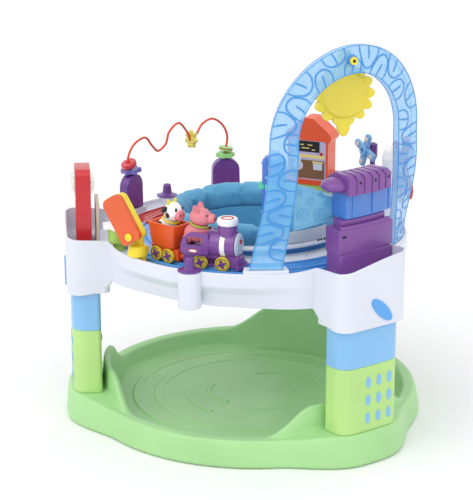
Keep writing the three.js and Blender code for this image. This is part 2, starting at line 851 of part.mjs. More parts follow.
const CHASSIS_W = 2 * (GAUGE_HALF - WHEEL_T / 2) - 2;
const BOILER_Z = 368;
let loco = union(
  solid(box(104, CHASSIS_W, 331, 352, 3)),
  solid(box(50, 46, 353, 392, 5, -27)),
  solid(box(104, CHASSIS_W + 0, 345, 356, 3)),
  solid(lyingRod(22.5, -6, 44, 0, BOILER_Z + 2.5, 20)),
  solid(box(14, 40, 331, 344, 5, 54)),
  solid(box(12, CHASSIS_W, 336, 350, 2, 48)),
);
const cabWindow = box(38, 60, 369, 385, 3, -27);
const cabWell = box(38, 34, 366, 400, 4, -27);
loco = cut(
  loco,
  solid(cabWindow),
  solid(cabWell),
  ...LOCO_AXLES.map((x) => solid(crossRod(3.6, -30, 30, x, AXLE_Z, 12))),
);
loco = union(loco, solid(rod(17, 380, 404, 20).translate(26, 0, 0)));
add("loco_body", toTrack(loco, LOCO_DEG), 0x7d4b96);

const capRing = turned(
  [
    [0, 404 + GAP],
    [10, 404 + GAP],
    [18, 411],
    [19, 415],
    [18, 420],
    [0, 421],
  ],
  20,
);
capRing.translate(26, 0, 0);
add("loco_chimney_cap", toTrack(solid(capRing), LOCO_DEG), 0xf4f4f4);

const faceDisc = cut(
  solid(lyingRod(21, 44 + GAP, 49, 0, BOILER_Z + 2.5, 20)),
  solid(box(24, 60, 330, 356.5, 2, 48)),
);
add("loco_face", toTrack(faceDisc, LOCO_DEG), 0xd8dade);

LOCO_AXLES.forEach((x, i) => {
  add(`loco_wheels_${i + 1}`, toTrack(wheelSet(x), LOCO_DEG), 0xf0c83c);
});

function oval(rx, ry, rz, x, y, z, segments) {
  const geometry = ball(1, 0, 0, 0, segments);
  geometry.scale(rx, ry, rz);
  geometry.translate(x, y, z);
  return geometry;
}

const pig = union(
  solid(softRod(13, 366.4, 402, 4, 12).translate(-29, 0, 0)),
  solid(oval(24, 17.5, 14, -31, 0, 407, 12)),
  solid(ball(18.5, -14, 0, 424, 12)),
  solid(lyingRod(9, -4, 5, 0, 421, 12)),
  solid(ball(6, -20, -11, 441, 6)),
  solid(ball(6, -20, 11, 441, 6)),
);
add("pig", toTrack(pig, LOCO_DEG), 0xe88c98);

const hopper = box(60, 44, 353, 396, 6);
let wagon = union(
  solid(box(66, CHASSIS_W, 331, 350, 3)),
  solid(hopper),
  solid(box(56, CHASSIS_W, 346, 356, 2)),
);
wagon = cut(
  wagon,
  solid(box(50, 34, 362, 400, 4)),
  ...WAGON_AXLES.map((x) => solid(crossRod(3.6, -30, 30, x, AXLE_Z, 12))),
);
add("wagon_body", toTrack(wagon, WAGON_DEG), 0xe05a24);
WAGON_AXLES.forEach((x, i) => {
  add(`wagon_wheels_${i + 1}`, toTrack(wheelSet(x), WAGON_DEG), 0xf0c83c);
});

const cow = union(
  solid(softRod(15.5, 362.4, 396, 6, 12).translate(0, 0, 0)),
  solid(oval(22, 16.2, 15, -1, 0, 395, 12)),
  solid(ball(18, 12, 0, 416, 12)),
  solid(lyingRod(10, 24, 33, 0, 411, 12)),
  solid(ball(6, 8, -16, 427, 6)),
  solid(ball(6, 8, 16, 427, 6)),
);
add("cow", toTrack(cow, WAGON_DEG), 0xf4f2ec);

// ---------- crossing gate ----------

const GATE = { deg: 220, radius: 268, yaw: 238, hingeZ: 375 };
const FOOT_R = 10.5;
const FOOT_AT = 260.5;

function toGate(body) {
  const x = GATE.radius * Math.cos(rad(GATE.deg));
  const y = GATE.radius * Math.sin(rad(GATE.deg));
  return body.rotate([0, 0, GATE.yaw - 90]).translate([x, y, 0]);
}

const gateBase = union(
  solid(softRod(18, RIM_Z + 1, 355, 3, 18)),
  solid(box(18, 9, 354, 389, 3, 0, -5)),
  solid(crossRod(4, -6, 26, 0, GATE.hingeZ, 12)),
  solid(crossRod(7, 24.8, 28, 0, GATE.hingeZ, 12)),
);
const gateFoot = atRim(rod(FOOT_R - 1, DECK_Z + GAP, RIM_Z + 4, 14), GATE.deg, FOOT_AT);
add("gate_post", union(toGate(gateBase), solid(gateFoot)), 0xe8d43c);

const arm = prism(shift(roundRect(43, 88, 9, 9, 4), 0, 33), -24.2, -0.2);
arm.rotateX(Math.PI / 2);
const gateArm = solid(arm).subtract(solid(crossRod(4.3, -20, 40, 0, 0, 12)));
add("gate_arm", toGate(gateArm.rotate([0, 33, 0]).translate([0, 0.3, GATE.hingeZ])), 0xe0572a);

// ---------- bead run ----------

function rimPoint(deg, radius, z) {
  return new THREE.Vector3(radius * Math.cos(rad(deg)), radius * Math.sin(rad(deg)), z);
}

const POST_R = 268;
const POST_TOP = 404;
for (const post of BEAD_POSTS) {
  const outline = [];
  outline.push([-28, RIM_Z + GAP], [28, RIM_Z + GAP]);
  for (let i = 0; i <= 10; i += 1) {
    const angle = (Math.PI * i) / 10;
    outline.push([27 * Math.cos(angle), POST_TOP - 24 + 24 * Math.sin(angle)]);
  }
  const slab = prism(outline, -10, 10);
  slab.rotateX(Math.PI / 2);
  const notch = box(20, 40, RIM_Z - 1, RIM_Z + 5, 3);
  const socket = rod(3, POST_TOP - 14, POST_TOP + 3, 12);
  const body = cut(solid(slab), solid(notch), solid(socket));
  add(`bead_post_${post.name}`, turnSolid(body, post.deg, POST_R), 0x6f4190);
}

const wireStart = rimPoint(BEAD_POSTS[0].deg, POST_R, POST_TOP - 12);
const wireEnd = rimPoint(BEAD_POSTS[1].deg, POST_R, POST_TOP - 12);
const along = (t, z) => new THREE.Vector3().lerpVectors(wireStart, wireEnd, t).setZ(z);
const wirePoints = [
  along(0, POST_TOP - 12),
  along(0, POST_TOP + 8),
  along(-0.03, 432),
  along(0.03, 459),
  along(0.15, 470),
  along(0.22, 452),
  along(0.28, 440),
  along(0.36, 451),
  along(0.4, 474),
  along(0.5, 488),
  along(0.58, 470),
  along(0.63, 452),
  along(0.69, 462),
  along(0.75, 479),
  along(0.86, 486),
  along(0.97, 470),
  along(1.02, 446),
  along(1.0, POST_TOP + 12),
  along(1.0, POST_TOP - 12),
];
const wireCurve = new THREE.CatmullRomCurve3(wirePoints, false, "centripetal");
const WIRE_R = 2.3;
const wireShape = new THREE.Shape();
wireShape.absarc(0, 0, WIRE_R, 0, 2 * Math.PI, false);
const wireGeometry = new THREE.ExtrudeGeometry(wireShape, {
  steps: 64,
  curveSegments: 3,
  extrudePath: wireCurve,
  bevelEnabled: false,
});
add("bead_wire", solid(wireGeometry), 0xd2502c);

// A bead threaded on the wire at t, turned so that its hole follows the wire.
function onWire(name, geometryList, t, colour, play = 1.7) {
  const at = wireCurve.getPointAt(t);
  const way = wireCurve.getTangentAt(t).normalize();
  const turn = new THREE.Quaternion().setFromUnitVectors(new THREE.Vector3(0, 0, 1), way);
  const matrix = new THREE.Matrix4().compose(at, turn, new THREE.Vector3(1, 1, 1));
  let body = union(...geometryList.map(solid));
  body = body.subtract(solid(rod(WIRE_R + play, -30, 30, 12)));
  add(name, body.transform(matrix.toArray()), colour);
}

onWire("bead_star_lavender", [prism(starPoints(6, 20, 14), -4, 4)], 0.043, 0x8f7cc0);
onWire("bead_disc_red", [softRod(15, -5, 5, 3, 18)], 0.074, 0xd0404a);
onWire("bead_star_yellow", [prism(starPoints(6, 18, 12), -3.5, 3.5)], 0.602, 0xdcc850, 4.3);
onWire("bead_disc_green", [softRod(14, -4.5, 4.5, 2.5, 18)], 0.932, 0xa8dc8c);
onWire("bead_star_green", [prism(starPoints(6, 19, 13), -4, 4)], 0.96, 0x8fcf70);

// ---------- pegs ----------

PEG_ANGLES.forEach((deg, i) => {
  const peg = turned(
    [
      [0, RIM_Z + GAP],
      [20.5, RIM_Z + GAP],
      [21, RIM_Z + 2.5],
      [9.5, RIM_Z + 5],
      [8, RIM_Z + 20],
      [6, RIM_Z + 24],
      [0, RIM_Z + 25],
    ],
    20,
  );
  peg.translate(PEG_R * Math.cos(rad(deg)), PEG_R * Math.sin(rad(deg)), 0);
  add(`peg_${i + 1}`, solid(peg), 0x6f4190);
});

// ---------- left tower toys ----------

const FRAME_DEG = 186.6;
const FRAME_R = 313;
const DRUM_Z = 433;
const FRAME_HEIGHT = 140;
const frameOutline = roundRect(78, FRAME_HEIGHT, 16, 4, 4);
const frameBody = prism(shift(frameOutline, 0, DECK_Z + 0.4 + FRAME_HEIGHT / 2), -14, 14);
frameBody.rotateX(Math.PI / 2);
const frameWindow = prism(shift(roundRect(54, 50, 10, 10, 3), 0, DRUM_Z), -20, 20);
frameWindow.rotateX(Math.PI / 2);
const frameAxle = rod(3.4, -36, 36, 12);
frameAxle.rotateY(Math.PI / 2);
frameAxle.translate(0, 0, DRUM_Z);
let rattleFrame = cut(solid(frameBody), solid(frameWindow), solid(frameAxle));
add("rattle_frame", turnSolid(rattleFrame, FRAME_DEG, FRAME_R), 0xc8202c);

const drumProfile = [
  [0, -34],
  [3, -34],
  [3, -24.5],
  [19, -24.5],
  [21.5, -22],
  [21.5, 22],
  [19, 24.5],
  [3, 24.5],
  [3, 34],
  [0, 34],
];
const drum = turned(drumProfile, 20);
drum.rotateY(Math.PI / 2);
drum.translate(0, 0, DRUM_Z);
add("rattle_drum", turnSolid(solid(drum), FRAME_DEG, FRAME_R), 0xe4ecf2, { transparent: true, opacity: 0.5 });

const plate = box(56, 7, DECK_Z + GAP, 402, 3);
add("picture_plate", solid(atRim(plate, FRAME_DEG, 288)), 0xe8dcc8);

const STAR = { deg: 201, radius: 264 };
const starPost = union(
  solid(atRim(softRod(16, RIM_Z + 2, 364, 2, 16), STAR.deg, STAR.radius)),
  solid(atRim(rod(FOOT_R, DECK_Z + GAP, RIM_Z + 4, 14), STAR.deg, FOOT_AT)),
  solid(atRim(rod(3, 362, 372, 12), STAR.deg, STAR.radius)),
);
add("star_post", starPost, 0x9cc86c);
const starWheel = cut(
  solid(prism(starPoints(7, 27, 20), 364 + GAP, 371)),
  solid(rod(3.3, 360, 380, 12)),
);
add("star_wheel", turnSolid(starWheel, STAR.deg, STAR.radius), 0xf2f2f0);

// ---------- back tower: school house ----------

const HOUSE_DEG = 66.6;
const HOUSE_R = 292;
const stand = box(64, 40, DECK_Z + GAP, 352, 8);
add("house_stand", solid(atRim(stand, HOUSE_DEG, HOUSE_R)), 0xb8d860);
const houseOutline = [
  [-42, 352 + GAP],
  [42, 352 + GAP],
  [42, 440],
  [50, 446],
  [46, 456],
  [8, 486],
  [-8, 486],
  [-46, 456],
  [-50, 446],
  [-42, 440],
];
const houseBody = prism(houseOutline, -22, 22);
houseBody.rotateX(Math.PI / 2);
const pictureHole = box(78, 12, 362, 442, 2, 0, -20);
add("school_house", turnSolid(cut(solid(houseBody), solid(pictureHole)), HOUSE_DEG, HOUSE_R), 0xdc5528);
const picture = box(77, 5, 362.5, 441.5, 2, 0, -16.9);
add("house_picture", solid(atRim(picture, HOUSE_DEG, HOUSE_R)), 0x8a5a3c);

// ---------- propeller ----------

const PROP = { deg: 30, radius: 260.5, z: 453 };
const stem = turned(
  [
    [0, DECK_Z + GAP],
    [FOOT_R, DECK_Z + GAP],
    [FOOT_R, DECK_Z + 9],
    [6, DECK_Z + 17],
    [5, 431],
    [9, 439],
    [9, 463],
    [0, 467],
  ],
  16,
);
const propAxle = rod(3, -22, 0, 12);
propAxle.rotateX(-Math.PI / 2);
propAxle.translate(0, 0, PROP.z);
const propCollar = rod(6.5, -12, 0, 12);
propCollar.rotateX(-Math.PI / 2);
propCollar.translate(0, 0, PROP.z);
const stemBody = union(solid(stem), solid(propAxle), solid(propCollar));
add("propeller_stem", turnSolid(stemBody, PROP.deg, PROP.radius), 0x6f4190);

function blade(length, width, thick, tilt) {
  const geometry = prism(shift(roundRect(width, length, width / 2.2, width / 2.2, 3), 0, length / 2), -thick / 2, thick / 2);
  geometry.rotateX(Math.PI / 2);
  geometry.rotateY(rad(tilt));
  return geometry;
}

const propParts = [solid(crossRod(10, -8, 4, 0, 0, 16))];
for (let i = 0; i < 4; i += 1) propParts.push(solid(blade(34, 17, 6, 20 + i * 90)));
let propeller = union(...propParts).subtract(solid(crossRod(3.5, -20, 20, 0, 0, 12)));
propeller = propeller.translate([0, -17, PROP.z]);
add("propeller", turnSolid(propeller, PROP.deg, PROP.radius), 0x6aa4d4);

// ---------- windmill ----------

const MILL = { deg: 9.5, radius: 255, z: 434 };
const millTower = turned(
  [
    [0, RIM_Z + 2],
    [18, RIM_Z + 2],
    [18, RIM_Z + 6],
    [15, 440],
    [16, 458],
    [12, 474],
    [5, 482],
    [0, 483],
  ],
  20,
);
const millFoot = atRim(rod(FOOT_R, DECK_Z + GAP, RIM_Z + 4, 14), MILL.deg, FOOT_AT);
const millPin = crossRod(3, 10, 26, 0, MILL.z, 12);
const millHub = crossRod(7, 8, 17.5, 0, MILL.z, 12);
const millHead = union(solid(millTower), solid(millPin), solid(millHub));
const mill = union(turnSolid(millHead, MILL.deg, MILL.radius), solid(millFoot));
add("mill_tower", mill, 0xf0f0f2);
const sailParts = [solid(crossRod(11, -5, 5, 0, 0, 16))];
for (let i = 0; i < 4; i += 1) sailParts.push(solid(blade(74, 36, 6, 25 + i * 90)));
let sails = union(...sailParts).subtract(solid(crossRod(3.5, -20, 20, 0, 0, 12)));
sails = sails.translate([0, 23, MILL.z]);
add("mill_sails", turnSolid(sails, MILL.deg, MILL.radius), 0xc8202c);

export default group;
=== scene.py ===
"""Looks of the activity jumper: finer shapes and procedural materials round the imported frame.

Shapes are in millimetres in the frame of the part, +Z up, and become metres when a piece is made.
"""

import json
import math

import bmesh
import bpy
from mathutils import Matrix, Vector, noise
from mathutils.geometry import tessellate_polygon


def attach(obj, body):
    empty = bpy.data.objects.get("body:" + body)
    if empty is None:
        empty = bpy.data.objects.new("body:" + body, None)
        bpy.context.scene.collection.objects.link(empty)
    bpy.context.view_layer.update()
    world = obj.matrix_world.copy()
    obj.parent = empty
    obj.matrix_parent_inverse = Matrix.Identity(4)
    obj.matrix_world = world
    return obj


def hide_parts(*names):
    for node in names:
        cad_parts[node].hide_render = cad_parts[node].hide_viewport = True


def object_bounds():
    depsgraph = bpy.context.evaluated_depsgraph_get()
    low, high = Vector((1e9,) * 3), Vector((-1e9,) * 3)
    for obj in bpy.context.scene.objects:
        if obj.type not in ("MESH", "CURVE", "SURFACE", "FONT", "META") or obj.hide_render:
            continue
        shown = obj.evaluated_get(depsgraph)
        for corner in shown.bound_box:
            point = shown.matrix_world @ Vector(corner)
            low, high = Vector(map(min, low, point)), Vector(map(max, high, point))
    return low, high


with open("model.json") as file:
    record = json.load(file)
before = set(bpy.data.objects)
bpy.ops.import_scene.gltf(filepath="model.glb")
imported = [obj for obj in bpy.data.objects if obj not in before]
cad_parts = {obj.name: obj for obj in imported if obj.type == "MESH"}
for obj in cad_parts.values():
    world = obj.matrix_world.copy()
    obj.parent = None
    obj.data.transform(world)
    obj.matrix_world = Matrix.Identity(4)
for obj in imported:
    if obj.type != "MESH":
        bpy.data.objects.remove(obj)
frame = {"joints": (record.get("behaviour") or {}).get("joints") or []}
cad_low, cad_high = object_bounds()

MM = 0.001
LIFT = 10
LEG_ANGLES = (186.6, 306.6, 66.6)
LEG_RADIUS = 312
LEG_WIDTH = 132
LEG_DEPTH = 50
LEG_BULGE = 3
LEG_FOOT_Z = 49
LOWER_LEG_TOP_Z = 170
UPPER_LEG_TOP_Z = 275
TOWER_BOTTOM_Z = 240
TOWER_WIDTH = 150
TOWER_INNER_R = 270
TOWER_OUTER_R = 347
WALL = 4
TRAY_SIDE_R = 312
TRAY_POD_R = 353
TRAY_FLOOR_Z = 12
RIM_R = 281
RIM_Z = 335
PARAPET_Z = 367
DECK_Z = 322
DECK_THICK = 8
SKIRT_R = 258
SKIRT_Z = 268
SEAT_HOLE_R = 179
TRACK_IN = 192
TRACK_OUT = 247
TRACK_TOP = 328
GROOVE_Z = 325.2
TRAIN_R = 222
GAUGE_HALF = 17
WHEEL_R = 13
WHEEL_T = 7
GAP = 0.35


# ---------- placing ----------


def mix(a, b, t):
    return a + (b - a) * t


def smooth(start, end, value):
    t = min(1.0, max(0.0, (value - start) / (end - start)))
    return t * t * (3 - 2 * t)


def turn_z(deg):
    return Matrix.Rotation(math.radians(deg), 4, "Z")


def turn_x(deg):
    return Matrix.Rotation(math.radians(deg), 4, "X")


def turn_y(deg):
    return Matrix.Rotation(math.radians(deg), 4, "Y")


def move(x=0, y=0, z=0):
    return Matrix.Translation((x, y, z))


def polar(radius, deg, z=0):
    return Vector((radius * math.cos(math.radians(deg)), radius * math.sin(math.radians(deg)), z))


def at_rim(deg, radius=0):
    """Local +Y points out from the centre and local +X runs clockwise along the rim."""
    return Matrix.Translation(polar(radius, deg)) @ turn_z(deg - 90)


def to_track(deg):
    """Local +X points along the track, anticlockwise, and local -Y points out."""
    return Matrix.Translation(polar(TRAIN_R, deg)) @ turn_z(deg + 90)


def off_leg(deg):
    turn = (deg - LEG_ANGLES[0]) % 120
    return min(turn, 120 - turn)


# ---------- shapes: each is (points, faces) and closed ----------


def rounded(points, reach, steps=4, closed=True):
    """The outline with each corner turned into a curve that starts reach before it."""
    count = len(points)
    result = []
    for i, point in enumerate(points):
        corner = Vector(point)
        if not closed and i in (0, count - 1):
            result.append(corner)
            continue
        before = Vector(points[i - 1]) - corner
        after = Vector(points[(i + 1) % count]) - corner
        cut = min(reach, before.length * 0.49, after.length * 0.49)
        if cut < 0.01:
            result.append(corner)
            continue
        start = corner + before.normalized() * cut
        end = corner + after.normalized() * cut
        for k in range(steps + 1):
            t = k / steps
            result.append((1 - t) ** 2 * start + 2 * t * (1 - t) * corner + t * t * end)
    return result


def round_rect(width, depth, outer, inner=None, steps=8, bulge=0):
    """A rounded rectangle with its own radius for the +Y corners and for the -Y corners."""
    inner = outer if inner is None else inner
    points = []
    for sx, sy, r, start in (
        (1, 1, outer, 0), (-1, 1, outer, 90), (-1, -1, inner, 180), (1, -1, inner, 270),
    ):
        for i in range(steps + 1):
            angle = math.radians(start + 90 * i / steps)
            x = sx * (width / 2 - r) + r * math.cos(angle)
            y = sy * (depth / 2 - r) + r * math.sin(angle)
            if sy > 0:
                y += bulge * max(0, 1 - (2 * x / width) ** 2)
            points.append(Vector((x, y)))
        if sy > 0 and sx > 0 and bulge:
            span = width - 2 * outer
            for i in range(1, 8):
                x = span / 2 - span * i / 8
                points.append(Vector((x, depth / 2 + bulge * (1 - (2 * x / width) ** 2))))
    return points


def shifted(outline, x, y):
    return [Vector((p.x + x, p.y + y)) for p in outline]


def stretched(shape, x, y, z):
    """A shape grown along each axis by its own share."""
    points, faces = shape
    return [Vector((p.x * x, p.y * y, p.z * z)) for p in points], faces


def ring_faces(n, rings):
    """The walls between rings of n points each, and the two end caps."""
    faces = []
    for i in range(rings - 1):
        for j in range(n):
            a = i * n + j
            b = i * n + (j + 1) % n
            faces.append((a, b, b + n, a + n))
    faces.append(tuple(range(n - 1, -1, -1)))
    faces.append(tuple(range((rings - 1) * n, rings * n)))
    return faces


def prism(outline, low, high, holes=()):
    """An outline in XY carried from low to high along Z, with holes through it."""
    loops = [list(outline)] + [list(hole) for hole in holes]
    flat = [Vector((p[0], p[1], 0)) for loop in loops for p in loop]
    count = len(flat)
    points = [Vector((p.x, p.y, low)) for p in flat] + [Vector((p.x, p.y, high)) for p in flat]
    faces = []
    start = 0
    for loop in loops:
        n = len(loop)
        for i in range(n):
            a, b = start + i, start + (i + 1) % n
            faces.append((a, b, b + count, a + count))
        start += n
    if holes:
        caps = tessellate_polygon([[Vector((p[0], p[1], 0)) for p in loop] for loop in loops])
    else:
        caps = [tuple(range(count))]
    for cap in caps:
        faces.append(tuple(reversed(cap)))
        faces.append(tuple(i + count for i in cap))
    return points, faces


def lathe(profile, steps=48, closed=False):
    """A profile of (radius, z) turned about Z. Open: it starts and ends on the axis."""
    points = []
    rows = []
    for radius, z in profile:
        if radius < 1e-6 and not closed:
            rows.append([len(points)] * steps)
            points.append(Vector((0, 0, z)))
            continue
        rows.append(list(range(len(points), len(points) + steps)))
        for i in range(steps):
            angle = 2 * math.pi * i / steps
            points.append(Vector((radius * math.cos(angle), radius * math.sin(angle), z)))
    faces = []
    pairs = list(zip(rows, rows[1:] + ([rows[0]] if closed else [])))
    for low, high in pairs[: len(rows) if closed else len(rows) - 1]:
        for i in range(steps):
            j = (i + 1) % steps
            face = []
            for index in (low[i], low[j], high[j], high[i]):
                if index not in face:
                    face.append(index)
            if len(face) > 2:
                faces.append(tuple(face))
    return points, faces


def turned(profile, reach, corner_steps, steps):
    """A profile from axis to axis, with soft corners, turned about Z."""
    return lathe(rounded(profile, reach, corner_steps, closed=False), steps)


def hoop(profile, reach, corner_steps, steps):
    """A closed profile away from the axis, with soft corners, turned about Z."""
    return lathe(rounded(profile, reach, corner_steps), steps, True)


def collar(radius, thick, steps):
    """A round ring about Z."""
    angles = [math.pi * k / 6 for k in range(12)]
    section = [(radius + thick * math.cos(a), thick * math.sin(a)) for a in angles]
    return lathe(section, steps, True)


def rod(radius, low, high, edge=0.0, steps=40):
    profile = [(0, low), (radius, low), (radius, high), (0, high)]
    if edge:
        profile = rounded(profile, edge, 4, closed=False)
    return lathe(profile, steps)


def ball(radius, stretch=(1, 1, 1), steps=24):
    rows = steps // 2
    profile = [
        (radius * math.sin(math.pi * i / rows), -radius * math.cos(math.pi * i / rows))
        for i in range(rows + 1)
    ]
    profile[0] = (0, -radius)
    profile[-1] = (0, radius)
    return stretched(lathe(profile, steps), *stretch)


def moved(shape, place):
    points, faces = shape
    return [place @ p for p in points], faces


def sector(profile, start, end, steps):
    """A closed profile of (radius, z) carried round the axis between two angles, with end caps."""
    points = []
    for i in range(steps + 1):
        deg = mix(start, end, i / steps)
        points += [polar(radius, deg, z) for radius, z in profile]
    return points, ring_faces(len(profile), steps + 1)


def block_sector(inner, outer, low, high, start, end, steps=16):
    return sector([(inner, low), (outer, low), (outer, high), (inner, high)], start, end, steps)


def round_body(angles, profile_at, closed):
    """A profile that changes with the angle. closed: it starts and ends on the axis."""
    rows = []
    points = []
    for deg in angles:
        row = []
        for k, (radius, z) in enumerate(profile_at(deg)):
            if closed and radius < 1e-6 and rows:
                row.append(rows[0][k])
                continue
            row.append(len(points))
            points.append(polar(radius, deg, z))
        rows.append(row)
    faces = []
    n = len(rows[0])
    for i, row in enumerate(rows):
        after = rows[(i + 1) % len(rows)]
        for j in range(n - 1 if closed else n):
            face = []
            for index in (row[j], row[(j + 1) % n], after[(j + 1) % n], after[j]):
                if index not in face:
                    face.append(index)
            if len(face) > 2:
                faces.append(tuple(face))
    return points, faces


def sweep(path, radius, steps=12):
    """A round tube along a path, with closed ends."""
    points = []
    up = Vector((0, 0, 1))
    path = [Vector(p) for p in path]
    first = (path[1] - path[0]).normalized()
    side = first.cross(up if abs(first.dot(up)) < 0.95 else Vector((1, 0, 0))).normalized()
    for i, p in enumerate(path):
        ahead = path[min(i + 1, len(path) - 1)] - path[max(i - 1, 0)]
        ahead.normalize()
        side = (side - ahead * side.dot(ahead)).normalized()
        over = ahead.cross(side)
        for k in range(steps):
            angle = 2 * math.pi * k / steps
            points.append(p + (side * math.cos(angle) + over * math.sin(angle)) * radius)
    return points, ring_faces(steps, len(path))


def box(length, width, low, high, radius, x=0, y=0, steps=5):
    return prism(shifted(round_rect(length, width, radius, radius, steps), x, y), low, high)


def star(count, outer, inner, steps=6):
    """A star outline with soft points and soft hollows."""
    points = []
    total = count * steps * 2
    for i in range(total):
        angle = 2 * math.pi * i / total
        wave = 0.5 + 0.5 * math.cos(count * angle)
        radius = mix(inner, outer, wave**1.2)
        points.append(Vector((radius * math.cos(angle), radius * math.sin(angle))))
    return points


def along_y(shape):
    """Turns a shape built along Z so that it runs along +Y, with its X kept."""
    return moved(shape, turn_x(-90))


def along_x(shape):
    return moved(shape, turn_y(90))


class Form:
    """Closed shells in millimetres, each with the number of its paint."""

    def __init__(self):
        self.points = []
        self.faces = []
        self.paints = []

    def add(self, shape, paint=0, place=None):
        points, faces = shape
        start = len(self.points)
        self.points.extend(place @ p if place is not None else Vector(p) for p in points)
        for face in faces:
            self.faces.append([start + i for i in face])
            self.paints.append(paint)
        return self


def make(name, form, paints, body, replaces=(), bevel=0.0, place=None, sharp=32, segments=3):
    """One shown piece: its mesh in metres, materials, soft edges and the body it rides on."""
    mesh = bpy.data.meshes.new(name)
    lifted = Vector((0, 0, LIFT))
    points = [((place @ p if place is not None else p) + lifted) * MM for p in form.points]
    mesh.from_pydata([tuple(p) for p in points], [], form.faces)
    for paint in paints:
        mesh.materials.append(paint)
    mesh.polygons.foreach_set("material_index", form.paints)
    work = bmesh.new()
    work.from_mesh(mesh)
    bmesh.ops.recalc_face_normals(work, faces=work.faces)
    work.to_mesh(mesh)
    work.free()
    mesh.polygons.foreach_set("use_smooth", [True] * len(mesh.polygons))
    mesh.set_sharp_from_angle(angle=math.radians(sharp))
    piece = bpy.data.objects.new(name, mesh)
    bpy.context.scene.collection.objects.link(piece)
    if bevel:
        soft = piece.modifiers.new("soft edges", "BEVEL")
        soft.width = bevel * MM
        soft.segments = segments
        soft.limit_method = "ANGLE"
        soft.angle_limit = math.radians(sharp)
        soft.harden_normals = True
        soft.use_clamp_overlap = True
    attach(piece, body)
    if replaces:
        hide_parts(*replaces)
    return piece


# ---------- materials ----------


def linear(code):
    """A colour given as six hex digits, as linear light."""
    channels = []
    for i in (0, 2, 4):
        c = int(code[i : i + 2], 16) / 255
        channels.append(c / 12.92 if c <= 0.04045 else ((c + 0.055) / 1.055) ** 2.4)
    return (*channels, 1.0)


class Paint:
    """A node material with helpers that wire its textures."""

    def __init__(self, name):
        self.material = bpy.data.materials.new(name)
        self.material.use_nodes = True
        self.tree = self.material.node_tree
        self.shader = self.tree.nodes["Principled BSDF"]
        self.where = self.tree.nodes.new("ShaderNodeTexCoord").outputs["Object"]

    def link(self, source, target):
        self.tree.links.new(source, target)

    def noise(self, scale, detail=3.0):
        made = self.tree.nodes.new("ShaderNodeTexNoise")
        made.inputs["Scale"].default_value = scale
        made.inputs["Detail"].default_value = detail
        self.link(self.where, made.inputs["Vector"])
        return made.outputs["Fac"]

    def ramp(self, source, stops):
        made = self.tree.nodes.new("ShaderNodeValToRGB")
        elements = made.color_ramp.elements
        while len(elements) < len(stops):
            elements.new(0.5)
        for element, (place, colour) in zip(elements, stops):
            element.position = place
            element.color = colour
        self.link(source, made.inputs["Fac"])
        return made.outputs["Color"]

    def blend(self, share, first, second, kind="MIX"):
        made = self.tree.nodes.new("ShaderNodeMix")
        made.data_type = "RGBA"
        made.blend_type = kind
        for socket, value in (
            (made.inputs[0], share), (made.inputs[6], first), (made.inputs[7], second),
        ):
            if isinstance(value, bpy.types.NodeSocket):
                self.link(value, socket)
            else:
                socket.default_value = value
        return made.outputs[2]

    def bump(self, height, strength, distance):
        made = self.tree.nodes.new("ShaderNodeBump")
        made.inputs["Strength"].default_value = strength
        made.inputs["Distance"].default_value = distance
        self.link(height, made.inputs["Height"])
        self.link(made.outputs["Normal"], self.shader.inputs["Normal"])


def shade(colour, factor):
    return (*[min(1.0, c * factor) for c in colour[:3]], 1.0)


def plastic(
    name, code, rough=0.32, tone=0.05, grain=0.12, coat=0.15, alpha=1.0, edge_highlight=0.25, painted_glow=0.0,
):
    """Moulded plastic: slow shifts of tone, a fine moulding grain and a painted highlight that makes
    edges a little paler.
    """
    paint = Paint(name)
    colour = linear(code)
    slow = paint.noise(7.0, 2.0)
    toned = paint.ramp(slow, [(0.3, shade(colour, 1 - tone)), (0.7, shade(colour, 1 + tone))])
    # painted highlight: convex edges (high pointiness) are mixed towards a paler colour, standing in
    # for light caught on rounded edges
    shape = paint.tree.nodes.new("ShaderNodeNewGeometry")
    edges = paint.ramp(
        shape.outputs["Pointiness"], [(0.52, (0, 0, 0, 1)), (0.62, (edge_highlight, edge_highlight, edge_highlight, 1))],
    )
    paint.link(paint.blend(edges, toned, shade(colour, 1.25)), paint.shader.inputs["Base Color"])
    scuffs = paint.noise(60.0, 4.0)
    gloss = paint.tree.nodes.new("ShaderNodeMapRange")
    gloss.inputs["To Min"].default_value = rough * 0.8
    gloss.inputs["To Max"].default_value = rough * 1.25
    paint.link(scuffs, gloss.inputs["Value"])
    paint.link(gloss.outputs["Result"], paint.shader.inputs["Roughness"])
    paint.bump(paint.noise(900.0, 2.0), grain, 0.0002)
    paint.shader.inputs["Coat Weight"].default_value = coat
    paint.shader.inputs["Coat Roughness"].default_value = 0.2
    paint.shader.inputs["Alpha"].default_value = alpha
    # painted glow: emission in the surface's own colour, standing in for light passing through clear
    # plastic
    if painted_glow:
        paint.shader.inputs["Emission Color"].default_value = colour
        paint.shader.inputs["Emission Strength"].default_value = painted_glow
    return paint.material


